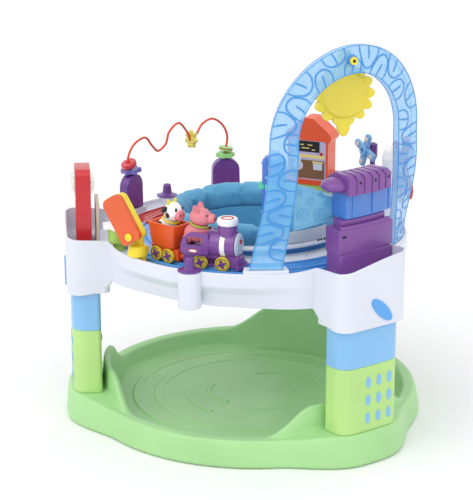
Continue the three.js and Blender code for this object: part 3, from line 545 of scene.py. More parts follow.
def woven(name, code):
    """Brushed knit cloth: a fine weave, soft sheen and slow shifts of tone."""
    paint = Paint(name)
    colour = linear(code)
    slow = paint.noise(14.0, 4.0)
    toned = paint.ramp(slow, [(0.3, shade(colour, 0.9)), (0.7, shade(colour, 1.08))])
    waves = []
    for direction in ("X", "Z"):
        wave = paint.tree.nodes.new("ShaderNodeTexWave")
        wave.bands_direction = direction
        wave.inputs["Scale"].default_value = 260.0
        wave.inputs["Distortion"].default_value = 1.5
        wave.inputs["Detail"].default_value = 1.0
        paint.link(paint.where, wave.inputs["Vector"])
        waves.append(wave.outputs["Fac"])
    weave = paint.tree.nodes.new("ShaderNodeMath")
    weave.operation = "MULTIPLY"
    paint.link(waves[0], weave.inputs[0])
    paint.link(waves[1], weave.inputs[1])
    threads = paint.ramp(
        weave.outputs["Value"], [(0.0, (0.86, 0.86, 0.86, 1)), (0.6, (1, 1, 1, 1))],
    )
    paint.link(paint.blend(1.0, toned, threads, "MULTIPLY"), paint.shader.inputs["Base Color"])
    paint.shader.inputs["Roughness"].default_value = 0.88
    paint.shader.inputs["Sheen Weight"].default_value = 0.25
    paint.shader.inputs["Sheen Roughness"].default_value = 0.5
    paint.bump(weave.outputs["Value"], 0.35, 0.0004)
    return paint.material


# ---------- paints ----------

GREEN = plastic("tray green", "a7d894", rough=0.42, tone=0.06, grain=0.3)
LIME = plastic("leg lime", "b3dc84", rough=0.38, grain=0.25)
LEG_BLUE = plastic("leg blue", "84bbe8", rough=0.34)
WHITE = plastic("table white", "dbdfeb", rough=0.3, tone=0.02)
TRACK_BLUE = plastic("track blue", "4f9fe6", rough=0.22, coat=0.4)
RED = plastic("toy red", "c4121f", rough=0.25, coat=0.4)
SEAT_WHITE = plastic("seat ring white", "e9ecf1", rough=0.32, tone=0.02)
BAND_BLUE = plastic("band blue", "2a6ea6", rough=0.5)
CLOTH = woven("seat cloth", "5fa9d2")
# painted shade: the seat cloth made darker for the inside of the bowl
CLOTH_PAINTED_SHADE = woven("seat cloth inside with painted shade", "4f9ac6")
HEM = woven("seat hem", "3f86b4")
PATCH = plastic("blank patch", "e4e6e2", rough=0.6, tone=0.03)
# the arch has a little painted glow and a faint painted edge highlight
ARCH_BLUE = plastic("arch blue", "7cc6f6", rough=0.16, coat=0.5, alpha=0.5, edge_highlight=0.1, painted_glow=0.05)
ARCH_LINE = plastic("arch line blue", "3f9ae0", rough=0.2, coat=0.4, alpha=0.8)
SUN_YELLOW = plastic("sun yellow", "e8d53a", rough=0.3, tone=0.03)
SUN_FACE = plastic("sun face yellow", "e2cf45", rough=0.34, tone=0.03)
# painted shade: dark discs set in holes and recesses, standing in for the shade inside them
HOLE_SHADE = plastic("painted hole shade", "1c1426", rough=0.7, tone=0.1)
CAGE_BLUE = plastic("cage blue", "0f6fd0", rough=0.14, coat=0.5, alpha=0.86)
CAGE_CLEAR = plastic("cage clear", "9fd6ff", rough=0.1, coat=0.6, alpha=0.55)
CAGE_GREEN = plastic("cage green", "54d0a8", rough=0.2, alpha=0.85)
PURPLE = plastic("toy purple", "7c4796", rough=0.3, coat=0.25)
DEEP_PURPLE = plastic("post purple", "693a8c", rough=0.28, coat=0.3)
WHEEL_YELLOW = plastic("wheel yellow", "e2cb3e", rough=0.3)
# painted shade: a dark line in the groove of each wheel, not a tyre
PAINTED_WHEEL_SHADOW = plastic("wheel shadow line", "241a10", rough=0.6)
CLEAR_BLUE = plastic("tunnel clear blue", "4a86dc", rough=0.14, coat=0.5, alpha=0.84)
PALE_BLUE = plastic("panel pale blue", "86cdee", rough=0.16, coat=0.5, alpha=0.62)
PALE_DEEP = plastic("panel raised blue", "6fbfe6", rough=0.18, coat=0.5, alpha=0.8)
TRIM_WHITE = plastic("trim white", "f2f2f2", rough=0.28, tone=0.02)
FACE_GREY = plastic("face grey", "c9d3dd", rough=0.3)
PINK = plastic("pig pink", "e5848f", rough=0.42, tone=0.06)
PINK_DEEP = plastic("snout pink", "d96f7e", rough=0.42)
COLLAR = plastic("collar green", "a5b53a", rough=0.4)
BLACK = plastic("toy black", "17130f", rough=0.45)
ORANGE = plastic("toy orange", "e2551c", rough=0.34)
GATE_ORANGE = plastic("gate orange", "e0602e", rough=0.34, alpha=0.97)
YELLOW = plastic("toy yellow", "ecd62f", rough=0.32)
WIRE_ORANGE = plastic("wire orange", "dc4a26", rough=0.22, coat=0.5)
LAVENDER = plastic("bead lavender", "7468b8", rough=0.25)
BEAD_RED = plastic("bead red", "cf3340", rough=0.25, coat=0.4)
BEAD_GREEN = plastic("bead green", "9ddb86", rough=0.3)
BEAD_YELLOW = plastic("bead yellow", "dccf58", rough=0.3)
DRUM_CLEAR = plastic("drum clear", "eef4f8", rough=0.08, coat=0.8, alpha=0.34)
CREAM = plastic("plate cream", "dccdb8", rough=0.55)
LIME_TOY = plastic("toy lime", "a4cc5c", rough=0.34)
HOUSE_ORANGE = plastic("house orange", "e0562c", rough=0.36)
SKY = plastic("propeller blue", "74a8d8", rough=0.3)
PICTURE_SKY = plastic("picture lilac", "b9b2cf", rough=0.6)
PICTURE_BROWN = plastic("picture brown", "7a5638", rough=0.6)
PICTURE_CREAM = plastic("picture cream", "e6d27c", rough=0.6)
SCREW = plastic("screw grey", "9aa0a6", rough=0.3)


# ---------- base: tray and legs ----------


def tray_profile(deg):
    off = off_leg(deg)
    pod = 1 - smooth(5, 30, off)
    shoulder = 1 - smooth(16, 34, off)
    outer = mix(TRAY_SIDE_R, TRAY_POD_R, pod)
    lip = mix(40, LEG_FOOT_Z, 1 - smooth(12, 26, off))
    crest_in = mix(293, 284, shoulder)
    crest_out = mix(301, 346, pod)
    corners = [
        (0, -LIFT),
        (outer - 6, -LIFT),
        (outer, 5 - LIFT),
        (mix(outer, crest_out, 0.55), lip * 0.72),
        (crest_out, lip),
        (crest_in, lip),
        (crest_in - 2, lip + 42 * shoulder),
        (crest_in - 12, lip - 0.5 + 42 * shoulder),
        (mix(268, 254, shoulder), TRAY_FLOOR_Z),
        (229, TRAY_FLOOR_Z),
        (227, 14.5),
        (218, 14.5),
        (215, TRAY_FLOOR_Z),
        (189, TRAY_FLOOR_Z),
        (187, 14),
        (173, 14),
        (170, TRAY_FLOOR_Z),
        (0, TRAY_FLOOR_Z),
    ]
    return [tuple(p) for p in rounded(corners, 5.5, 3, closed=False)]


def make_base():
    tray = Form().add(round_body([1.5 * i for i in range(240)], tray_profile, True))
    rib = [(-4, 0), (4, 0), (4, 1), (2.4, 2.4), (-2.4, 2.4), (-4, 1)]
    swirls = (
        (62, 150, 245, -22, 6),
        (122, 60, 98, 22, -24),
        (96, 255, 330, 6, 4),
        (140, 10, 48, -6, 0),
        (132, 190, 232, 4, 8),
    )
    for radius, start, end, x, y in swirls:
        profile = [(radius + r, TRAY_FLOOR_Z - 0.4 + z) for r, z in rib]
        tray.add(sector(profile, start, end, 40), 0, move(x, y))
    make("tray", tray, [GREEN], "base", ["base_tray"], sharp=50)

    section = round_rect(LEG_WIDTH, LEG_DEPTH, 24, 9, 10, LEG_BULGE)
    face = LEG_DEPTH / 2 + LEG_BULGE
    for i, deg in enumerate(LEG_ANGLES):
        place = at_rim(deg, LEG_RADIUS)
        lower = Form().add(prism(section, LEG_FOOT_Z + GAP, LOWER_LEG_TOP_Z))
        for x in (-44, 44):
            for z in (70, 150):
                # painted shade: a dark disc round each screw for the shade in its hole
                lower.add(along_y(rod(6.5, -26.2, -24, 0.8, 28)), 1, move(x, 0, z))
                lower.add(along_y(rod(3.4, -26.6, -24, 0.3, 20)), 2, move(x, 0, z))
        make(
            f"leg_lower_{i + 1}", lower, [LIME, HOLE_SHADE, SCREW], "base",
            [f"lower_leg_{i + 1}"], bevel=1.4, place=place,
        )
        upper = Form().add(prism(section, LOWER_LEG_TOP_Z + GAP, UPPER_LEG_TOP_Z))
        for z in (74, 107, 140):
            for step in (-1, 0, 1):
                x = -14 + step * 24
                rise = LEG_BULGE * (2 * x / LEG_WIDTH) ** 2
                nub = turned(
                    [(0, 12), (1, 12), (1, face - rise + 0.9), (0, face - rise + 0.9)], 0.12, 3, 28,
                )
                oval = stretched(nub, 5.2, 10.2, 1)
                upper.add(along_y(oval), 0, move(x, 0, z))
        make(
            f"leg_upper_{i + 1}", upper, [LEG_BLUE], "base",
            [f"upper_leg_{i + 1}"], bevel=1.2, place=place,
        )


# ---------- table ----------

ARCH_ANGLE = 306.6
ARCH_R = 272
ARCH_THICK = 10
ARCH_FOOT_Z = 341
ARCH_TOP_Z = 716
ARCH_CROWN_R = 154
ARCH_CROWN_Z = ARCH_TOP_Z - ARCH_CROWN_R
ARCH_BAND = 48
ARCH_OUTER_FOOT = 185
ARCH_INNER_FOOT = 129
BEAD_POSTS = (("left", 150.4), ("right", 101.7))
PEG_ANGLES = (246.6, 126.6)
PEG_R = 283
FRONT_DEG = 246.6


def tower_reach(deg, inset):
    """How far the wall of a tower is from the centre, inset by a wall thickness."""
    off = math.radians(off_leg(deg))
    half = TOWER_WIDTH / 2 - inset
    front = TOWER_OUTER_R - inset
    corner = 26 - inset
    cu, cv = half - corner, front - corner
    if math.tan(off) <= cu / front:
        return front / math.cos(off)
    if math.tan(off) <= half / cv:
        c = cu * math.sin(off) + cv * math.cos(off)
        return c + math.sqrt(max(0, c * c - (cu * cu + cv * cv - corner * corner)))
    return half / math.sin(off)


def rim_rise(deg):
    """1 where the rim is a tower's parapet and 0 where it is low; it is lower towards the front."""
    off_front = abs((deg - FRONT_DEG + 180) % 360 - 180)
    return min(1 - smooth(-16, 27, 60 - off_front), 1 - smooth(10, 27, off_leg(deg)))


def table_profile(deg):
    off = off_leg(deg)
    tower = 1 - smooth(12.8, 16.4, off)
    flare = 1 - smooth(15, 44, off)
    rim = max(RIM_R + 2 * flare, tower_reach(deg, 0))
    inside = max(RIM_R + 2 * flare - WALL, tower_reach(deg, WALL))
    foot = mix(SKIRT_R + 22 * flare, rim, tower)
    foot_inside = mix(SKIRT_R + 22 * flare - WALL, inside, tower)
    top = mix(RIM_Z, PARAPET_Z, rim_rise(deg))
    ledge = mix(0.45, 0, tower)
    low = mix(SKIRT_Z, TOWER_BOTTOM_Z, tower)
    corners = [
        (SEAT_HOLE_R, DECK_Z - DECK_THICK),
        (SEAT_HOLE_R, DECK_Z),
        (inside - 5, DECK_Z),
        (inside, DECK_Z + 5),
        (inside, top - 1),
        (inside + 1, top),
        (rim - 1, top),
        (rim, top - 1.5),
        (rim, DECK_Z - 12),
        (mix(rim, foot, ledge), DECK_Z - 24),
        (mix(rim, foot, ledge + 0.12 * (1 - tower)), DECK_Z - 27),
        (foot, low + 1),
        (foot - 1, low),
        (foot_inside, low),
        (mix(inside, foot_inside, 0.6), DECK_Z - DECK_THICK - 10),
        (inside - 3, DECK_Z - DECK_THICK),
    ]
    return [tuple(p) for p in rounded(corners, 2.0, 2)]


def table_angles():
    angles = []
    for leg in LEG_ANGLES:
        offset = -60.0
        while offset < 60:
            angles.append(leg + offset)
            offset += 0.6 if abs(offset) < 22 else 1.5
    return sorted(angles)


def oval_disc(y0, y1, edge):
    """The height button's oval, tilted on the face of a tower."""
    profile = rounded([(0, y0), (1, y0), (1, y1), (0, y1)], edge, 4, closed=False)
    disc = stretched(lathe(profile, 48), 30, 11, 1)
    return moved(along_y(disc), move(-10, 0, 270) @ turn_y(-44))


def make_table():
    table = Form().add(round_body(table_angles(), table_profile, False))
    sleeve_depth = TOWER_OUTER_R - LEG_BULGE - TOWER_INNER_R
    middle = TOWER_INNER_R + sleeve_depth / 2
    outer = [
        p + Vector((0, -1.1))
        for p in round_rect(TOWER_WIDTH - 4.4, sleeve_depth - 2.2, 24, 12, 8, 2.4)
    ]
    shift = LEG_RADIUS - 1.5 - middle
    inner = [p + Vector((0, shift)) for p in round_rect(LEG_WIDTH + 4, LEG_DEPTH + 9, 24, 8, 8, 3)]
    ceiling = DECK_Z - DECK_THICK - 4
    for deg in LEG_ANGLES:
        place = at_rim(deg, middle)
        table.add(prism(outer, TOWER_BOTTOM_Z + 3, ceiling, [inner]), 0, place)
        table.add(prism(outer, ceiling, DECK_Z - DECK_THICK + 1), 0, place)
    for side in (-1, 1):
        mid = ARCH_ANGLE + side * 33
        table.add(block_sector(256, 279, DECK_Z - 2, ARCH_FOOT_Z - GAP, mid - 8, mid + 8))
    for _, deg in BEAD_POSTS:
        table.add(block_sector(256, 279, DECK_Z - 2, RIM_Z, deg - 7, deg + 7))
    for deg in PEG_ANGLES:
        table.add(rod(20, SKIRT_Z + 2, RIM_Z, 1.5, 40), 0, at_rim(deg, PEG_R))
    for k in range(18):
        rib = 20 * k + 6.6
        if off_leg(rib) > 20:
            table.add(
                block_sector(200, 262, 296, DECK_Z - DECK_THICK + 0.5, rib - 0.35, rib + 0.35, 1)
            )
    for radius in (196, 226, 252):
        table.add(
            lathe(
                [
                    (radius - 1.2, 297), (radius + 1.2, 297), (radius + 1.2, 314.5),
                    (radius - 1.2, 314.5),
                ],
                120, True,
            )
        )
    make(
        "table", table, [WHITE], "table", ["table_top"], bevel=0.8, sharp=40,
        segments=2,
    )

    for i, deg in enumerate(LEG_ANGLES):
        button = Form().add(oval_disc(TOWER_OUTER_R - 1.4, TOWER_OUTER_R + 2.6, 0.3))
        make(
            f"button_{i + 1}", button, [TRACK_BLUE], f"height_button_{i + 1}_body",
            [f"height_button_{i + 1}"], place=at_rim(deg),
        )
        recess = Form()
        profile = [(30.2, 0), (33.2, 0), (32.6, 1.6), (30.6, 1.6)]
        oval = stretched(lathe([(r / 30, z) for r, z in profile], 48, True), 30, 30 * 0.385, 1)
        rim = moved(oval, move(0, 0, TOWER_OUTER_R - 1.4))
        recess.add(moved(along_y(rim), move(-10, 0, 270) @ turn_y(-44)))
        make(
            f"button_rim_{i + 1}", recess, [WHITE], "table", place=at_rim(deg),
            sharp=60,
        )


def track_profile():
    g = 3
    points = [(TRACK_IN, DECK_Z + GAP), (TRACK_OUT, DECK_Z + GAP), (TRACK_OUT, TRACK_TOP)]
    for middle in (TRAIN_R + GAUGE_HALF, TRAIN_R - GAUGE_HALF):
        reach = WHEEL_T / 2 + g
        points += [(middle + reach, TRACK_TOP), (middle + reach, GROOVE_Z)]
        points += [(middle - reach, GROOVE_Z), (middle - reach, TRACK_TOP)]
    points.append((TRACK_IN, TRACK_TOP))
    return [tuple(p) for p in rounded(points, 1.1, 3)]


def make_track():
    profile = track_profile()
    for name, node, slot, paint, start, end in (
        ("track_blue_run", "track_blue", "blue_track", TRACK_BLUE, 163, 421),
        ("track_red_run", "track_red", "red_plastic", RED, 61.3, 162.7),
    ):
        run = Form().add(sector(profile, start, end, int((end - start) / 1.5)))
        for radius in (TRAIN_R - 9.5, TRAIN_R + 9.5, TRAIN_R):
            half = 0.9 if radius == TRAIN_R else 1.4
            ridge = [(radius - half, TRACK_TOP - 0.3), (radius + half, TRACK_TOP - 0.3)]
            ridge += [
                (radius + half * 0.6, TRACK_TOP + 0.9), (radius - half * 0.6, TRACK_TOP + 0.9),
            ]
            run.add(sector(ridge, start + 0.5, end - 0.5, int((end - start) / 2)))
        make(name, run, [paint], "table", [node], sharp=60)


# ---------- seat ----------


def make_seat_ring():
    corners = [
        (161, 300), (177, 300), (177, DECK_Z + 0.6), (189, DECK_Z + 0.6), (190, DECK_Z + 4),
        (176, DECK_Z + 9), (172, DECK_Z + 10), (172, DECK_Z + 24), (168, DECK_Z + 28),
        (161, DECK_Z + 28),
    ]
    ring = Form().add(hoop(corners, 1.6, 3, 120))
    for k in range(24):
        ring.add(box(5, 2.4, DECK_Z + 8, DECK_Z + 11.5, 1), 0, turn_z(15 * k) @ move(0, 180.5))
    make("seat_collar", ring, [SEAT_WHITE], "seat", ["seat_ring"], sharp=45)
    band = [
        (172.4, DECK_Z + 13), (174.4, DECK_Z + 13.6), (174.4, DECK_Z + 21.4), (172.4, DECK_Z + 22),
    ]
    make(
        "seat_band_ring", Form().add(hoop(band, 0.6, 2, 120)), [BAND_BLUE],
        "seat", ["seat_band"], sharp=50,
    )


PAD_LOW_Z = 338
PAD_HIGH_Z = 388
PAD_IN = 131
PAD_OUT = 154


def pleat_depth(deg):
    """How deep the gathers of the pad are at an angle."""
    depth = 0.0
    for k in range(26):
        centre = 360 * k / 26 + 5.5 * math.sin(3.7 * k) + 2 * math.sin(11.3 * k)
        width = 1.5 + 0.7 * math.sin(5.1 * k)
        gap = (deg - centre + 180) % 360 - 180
        depth += (0.55 + 0.45 * math.sin(2.9 * k + 1)) * math.exp(-((gap / width) ** 2))
    return min(depth, 1.2)


def puff(piece, voxel, pressure, cap):
    """Fills the pad with air by a cloth simulation and keeps how it swells and creases."""
    mesh = piece.data
    shape = piece.modifiers.new("even mesh", "REMESH")
    shape.mode = "VOXEL"
    shape.voxel_size = voxel
    graph = bpy.context.evaluated_depsgraph_get()
    even = bpy.data.meshes.new_from_object(piece.evaluated_get(graph))
    piece.modifiers.remove(shape)
    piece.data = even
    bpy.data.meshes.remove(mesh)
    start = [v.co.copy() for v in even.vertices]
    cloth = piece.modifiers.new("air", "CLOTH")
    cloth.settings.quality = 6
    cloth.settings.mass = 0.2
    cloth.settings.tension_stiffness = 12
    cloth.settings.compression_stiffness = 12
    cloth.settings.shear_stiffness = 4
    cloth.settings.bending_stiffness = 0.3
    cloth.settings.use_pressure = True
    cloth.settings.uniform_pressure_force = pressure
    cloth.settings.effector_weights.gravity = 0
    cloth.collision_settings.use_self_collision = False
    cloth.point_cache.frame_start = 1
    cloth.point_cache.frame_end = 20
    scene = bpy.context.scene
    for number in range(1, 21):
        scene.frame_set(number)
    graph = bpy.context.evaluated_depsgraph_get()
    swollen = piece.evaluated_get(graph).to_mesh()
    ends = [v.co.copy() for v in swollen.vertices]
    piece.evaluated_get(graph).to_mesh_clear()
    piece.modifiers.remove(cloth)
    scene.frame_set(1)
    for vertex, before, after in zip(even.vertices, start, ends):
        step = after - before
        if step.length > cap:
            step *= cap / step.length
        vertex.co = before + step


def pad_profile(deg):
    """The roll of the pad, with its gathers drawn in."""
    pull = 1.6 * pleat_depth(deg)
    middle = (PAD_IN + PAD_OUT) / 2
    half = (PAD_OUT - PAD_IN) / 2 - pull
    low, high = PAD_LOW_Z, PAD_HIGH_Z - pull * 0.8
    corners = [
        (middle - half, low + 2), (middle - half * 0.6, low - 6), (middle + half * 0.7, low - 4),
        (middle + half, low + 6), (middle + half, low + 14), (middle + half + 7, low + 24),
        (middle + half + 5, high - 12), (middle + half * 0.6 + 2, high - 2),
        (middle, high), (middle - half * 0.6, high - 3), (middle - half, high - 14),
    ]
    return [tuple(p) for p in rounded(corners, 7, 3)]


def make_seat_pad():
    form = Form().add(round_body([1.25 * i for i in range(288)], pad_profile, False))
    pad = make("seat_pad", form, [CLOTH], "seat", ["seat_cover"], sharp=180)
    world = pad.matrix_world.copy()
    puff(pad, 0.005, 4.0, 0.006)
    pad.matrix_world = world
    for vertex in pad.data.vertices:
        x, y, z = vertex.co / MM - Vector((0, 0, LIFT))
        deg = math.degrees(math.atan2(y, x)) % 360
        lean = 2.2 * math.sin((z - PAD_LOW_Z) / 9.0 + deg * 0.21)
        depth = pleat_depth(deg + lean)
        radius = math.hypot(x, y)
        middle = (PAD_IN + PAD_OUT) / 2
        out = Vector((x / radius, y / radius, 0)) * (1 if radius > middle else -1)
        rise = smooth(PAD_LOW_Z + 26, PAD_HIGH_Z, z)
        way = (out * (1 - 0.75 * rise) + Vector((0, 0, 1)) * rise).normalized()
        slack = noise.noise(Vector((x, y, z * 0.6)) * 0.035) * 1.6
        vertex.co += way * (slack - 5.8 * depth) * MM
    pad.data.polygons.foreach_set("use_smooth", [True] * len(pad.data.polygons))
    finer = pad.modifiers.new("finer", "SUBSURF")
    finer.levels = 1
    finer.render_levels = 1


LEG_HOLES = ((-52, -38), (52, -38))
LEG_HOLE_R = 36


def bowl_height(radius):
    """Height of the inside of the sling at a distance from its middle."""
    stations = ((0, 212), (57, 214), (86, 230), (104, 258), (118, 300), (127, 340), (131, 352))
    for (r0, z0), (r1, z1) in zip(stations, stations[1:]):
        if radius <= r1:
            t = (radius - r0) / (r1 - r0)
            return mix(z0, z1, t)
    return stations[-1][1]


def make_seat_sling():
    """The hanging fabric bowl, with its two leg holes and their hems."""
    inner = [
        (0, 212.5), (30, 213), (57, 215), (74, 221), (88, 232), (97, 245), (105, 262), (113, 285),
        (120, 312), (127, 342),
    ]
    outer = []
    for r, z in inner:
        drop = 4.6 - 3.4 * min(1, max(0, r - 60) / 60)
        outer.append((r + 4.4 * min(1, r / 60), z - drop))
    outer[0] = (0, inner[0][1] - 4.6)
    profile = [*outer, *reversed(inner)]
    profile = [tuple(p) for p in rounded(profile, 4, 3, closed=False)]
    # the sling uses the seat cloth darkened by painted shade
    sling = make(
        "seat_sling", Form().add(lathe(profile, 120)), [CLOTH_PAINTED_SHADE], "seat",
        sharp=180,
    )
    for x, y in LEG_HOLES:
        cutter_mesh = bpy.data.meshes.new("cutter")
        points, faces = rod(LEG_HOLE_R, 180, 300, 0, 56)
        cutter_mesh.from_pydata([tuple((p + Vector((x, y, LIFT))) * MM) for p in points], [], faces)
        cutter = bpy.data.objects.new("cutter", cutter_mesh)
        bpy.context.scene.collection.objects.link(cutter)
        hole = sling.modifiers.new("leg hole", "BOOLEAN")
        hole.object = cutter
        hole.operation = "DIFFERENCE"
        hole.solver = "EXACT"
        graph = bpy.context.evaluated_depsgraph_get()
        done = bpy.data.meshes.new_from_object(sling.evaluated_get(graph))
        sling.modifiers.remove(hole)
        sling.data = done
        bpy.data.objects.remove(cutter)
        bpy.data.meshes.remove(cutter_mesh)
    sling.data.polygons.foreach_set("use_smooth", [True] * len(sling.data.polygons))
    for vertex in sling.data.vertices:
        x, y, z = vertex.co / MM - Vector((0, 0, LIFT))
        radius = math.hypot(x, y)
        deg = math.degrees(math.atan2(y, x)) % 360
        away = min(math.hypot(x - hx, y - hy) for hx, hy in LEG_HOLES) - LEG_HOLE_R
        soft = smooth(70, 110, radius) * smooth(2, 14, away)
        wave = 1.1 * math.sin(
            math.radians(deg) * 17 + 0.02 * z
        ) + 1.2 * noise.noise(Vector((x, y, z)) * 0.03)
        way = Vector((x, y, 0)).normalized() if radius > 1 else Vector((0, 0, 0))
        vertex.co += way * wave * soft * MM
    hems = Form()
    for x, y in LEG_HOLES:
        path = []
        for k in range(49):
            angle = 2 * math.pi * k / 48
            px, py = x + LEG_HOLE_R * math.cos(angle), y + LEG_HOLE_R * math.sin(angle)
            path.append(Vector((px, py, bowl_height(math.hypot(px, py)) - 1.0)))
        hems.add(loop_tube(path[:-1], 3.6, 10))
    make("leg_hole_hems", hems, [HEM], "seat", sharp=180)
    seam = Form()
    for radius, z in ((128.5, 346), (106.5, 262)):
        seam.add(
            lathe(
                [
                    (radius + 1.1 * math.cos(a), z + 1.1 * math.sin(a))
                    for a in [math.pi * k / 4 for k in range(8)]
                ],
                120, True,
            )
        )
    make("sling_piping", seam, [HEM], "seat", sharp=180)
    patch = Form().add(
        sector(
            [(165.4, 352), (166.4, 352), (167.6, 362), (166.6, 373), (165.6, 373), (166.4, 362)],
            284, 320, 30,
        )
    )
    make("blank_patch", patch, [PATCH], "seat", sharp=40)


def loop_tube(path, radius, steps):
    """A round tube along a closed path."""
    points = []
    faces = []
    count = len(path)
    for i, p in enumerate(path):
        ahead = (path[(i + 1) % count] - path[i - 1]).normalized()
        side = ahead.cross(Vector((0, 0, 1))).normalized()
        over = ahead.cross(side)
        for k in range(steps):
            angle = 2 * math.pi * k / steps
            points.append(p + (side * math.cos(angle) + over * math.sin(angle)) * radius)
    for i in range(count):
        after = (i + 1) % count
        for k in range(steps):
            faces.append(
                (
                    i * steps + k, i * steps + (k + 1) % steps, after * steps + (k + 1) % steps,
                    after * steps + k,
                )
            )
    return points, faces


# ---------- arch ----------

LEG_SHARE = 0.27
CAGE_DEG = 277.6
CAGE_R = 236
CAGE_Z0 = 420
CAGE_Z1 = 530
SUN_DEG = 308.1
SUN_FACE_DEG = 286
SUN_R = 240
ARCH_BOW = 0.5
ARCH_BOW_FULL_Z = 520
SUN_Z = 627
BOLT_Z = 692


def arch_edge(crown, foot, t):
    """A point (along the rim, height) of one edge of the band; t runs from foot to foot."""
    if t < LEG_SHARE:
        q = max(0.0, t) / LEG_SHARE
        return Vector(
            (-mix(foot, crown, math.sin(q * math.pi / 2)), mix(ARCH_FOOT_Z, ARCH_CROWN_Z, q))
        )
    if t > 1 - LEG_SHARE:
        q = max(0.0, 1 - t) / LEG_SHARE
        return Vector(
            (mix(foot, crown, math.sin(q * math.pi / 2)), mix(ARCH_FOOT_Z, ARCH_CROWN_Z, q))
        )
    angle = math.pi * (1 - (t - LEG_SHARE) / (1 - 2 * LEG_SHARE))
    return Vector((crown * math.cos(angle), ARCH_CROWN_Z + crown * math.sin(angle)))


def on_arch(t, across, radius):
    """A point of the band; across is 1 at its outer edge and -1 at its inner edge."""
    outer = arch_edge(ARCH_CROWN_R, ARCH_OUTER_FOOT, t)
    inner = arch_edge(ARCH_CROWN_R - ARCH_BAND, ARCH_INNER_FOOT, t)
    s, z = inner.lerp(outer, (across + 1) / 2)
    bow = ARCH_BOW * smooth(ARCH_FOOT_Z, ARCH_BOW_FULL_Z, z) * (1 / math.cos(s / ARCH_R) - 1) * ARCH_R
    return polar(radius + bow, ARCH_ANGLE + math.degrees(s / ARCH_R), z)


def arch_band(low, high, inner, outer, steps=160):
    """Part of the band between two shares of its width."""
    corners = ((high, outer), (low, outer), (low, inner), (high, inner))
    points = []
    for i in range(steps + 1):
        points += [on_arch(i / steps, across, radius) for across, radius in corners]
    return points, ring_faces(len(corners), steps + 1)


def ribbon(route, width, inner, outer):
    """A thin raised line on the band along a route of (t, across) points."""
    count = len(route)
    points = []
    middle = [on_arch(t, across, (inner + outer) / 2) for t, across in route]
    for i, here in enumerate(middle):
        ahead = (middle[min(i + 1, count - 1)] - middle[max(i - 1, 0)]).normalized()
        out = Vector((here.x, here.y, 0)).normalized()
        side = ahead.cross(out).normalized()
        half = width * (0.62 + 0.38 * math.sin(math.pi * i / (count - 1))) / 2
        for radius, way in ((outer, 1), (outer, -1), (inner, -1), (inner, 1)):
            points.append(here + out * (radius - (inner + outer) / 2) + side * half * way)
    return points, ring_faces(4, count)


def curve(points, steps=14):
    """A smooth route through three or four (t, across) points."""
    spline = [Vector(p) for p in points]
    spline = [spline[0], *spline, spline[-1]]
    route = []
    for i in range(1, len(spline) - 2):
        p0, p1, p2, p3 = spline[i - 1 : i + 3]
        for k in range(steps):
            t = k / steps
            route.append(
                0.5 * (2 * p1 + (p2 - p0) * t + (2 * p0 - 5 * p1 + 4 * p2 - p3) * t * t
                       + (3 * p1 - p0 - 3 * p2 + p3) * t * t * t)
            )
    route.append(spline[-2])
    return [(p.x, p.y) for p in route]


def swirl_routes():
    """Loops that reach into the band from either edge, with short strokes between them."""
    routes = []
    for side in (-1, 1):
        for k in range(13):
            t = 0.02 + 0.075 * k + (0.037 if side > 0 else 0)
            depth = 0.25 + 0.3 * math.sin(2.1 * k + side)
            routes.append([
                (t, side * 0.93), (t + 0.004, side * 0.35), (t + 0.016, -depth * side),
                (t + 0.034, -depth * side),
                (t + 0.045, side * 0.35), (t + 0.044, side * 0.93),
            ])
            routes.append(
                [(t + 0.02, side * 0.93), (t + 0.024, side * 0.45), (t + 0.026, side * 0.05)]
            )
    return routes


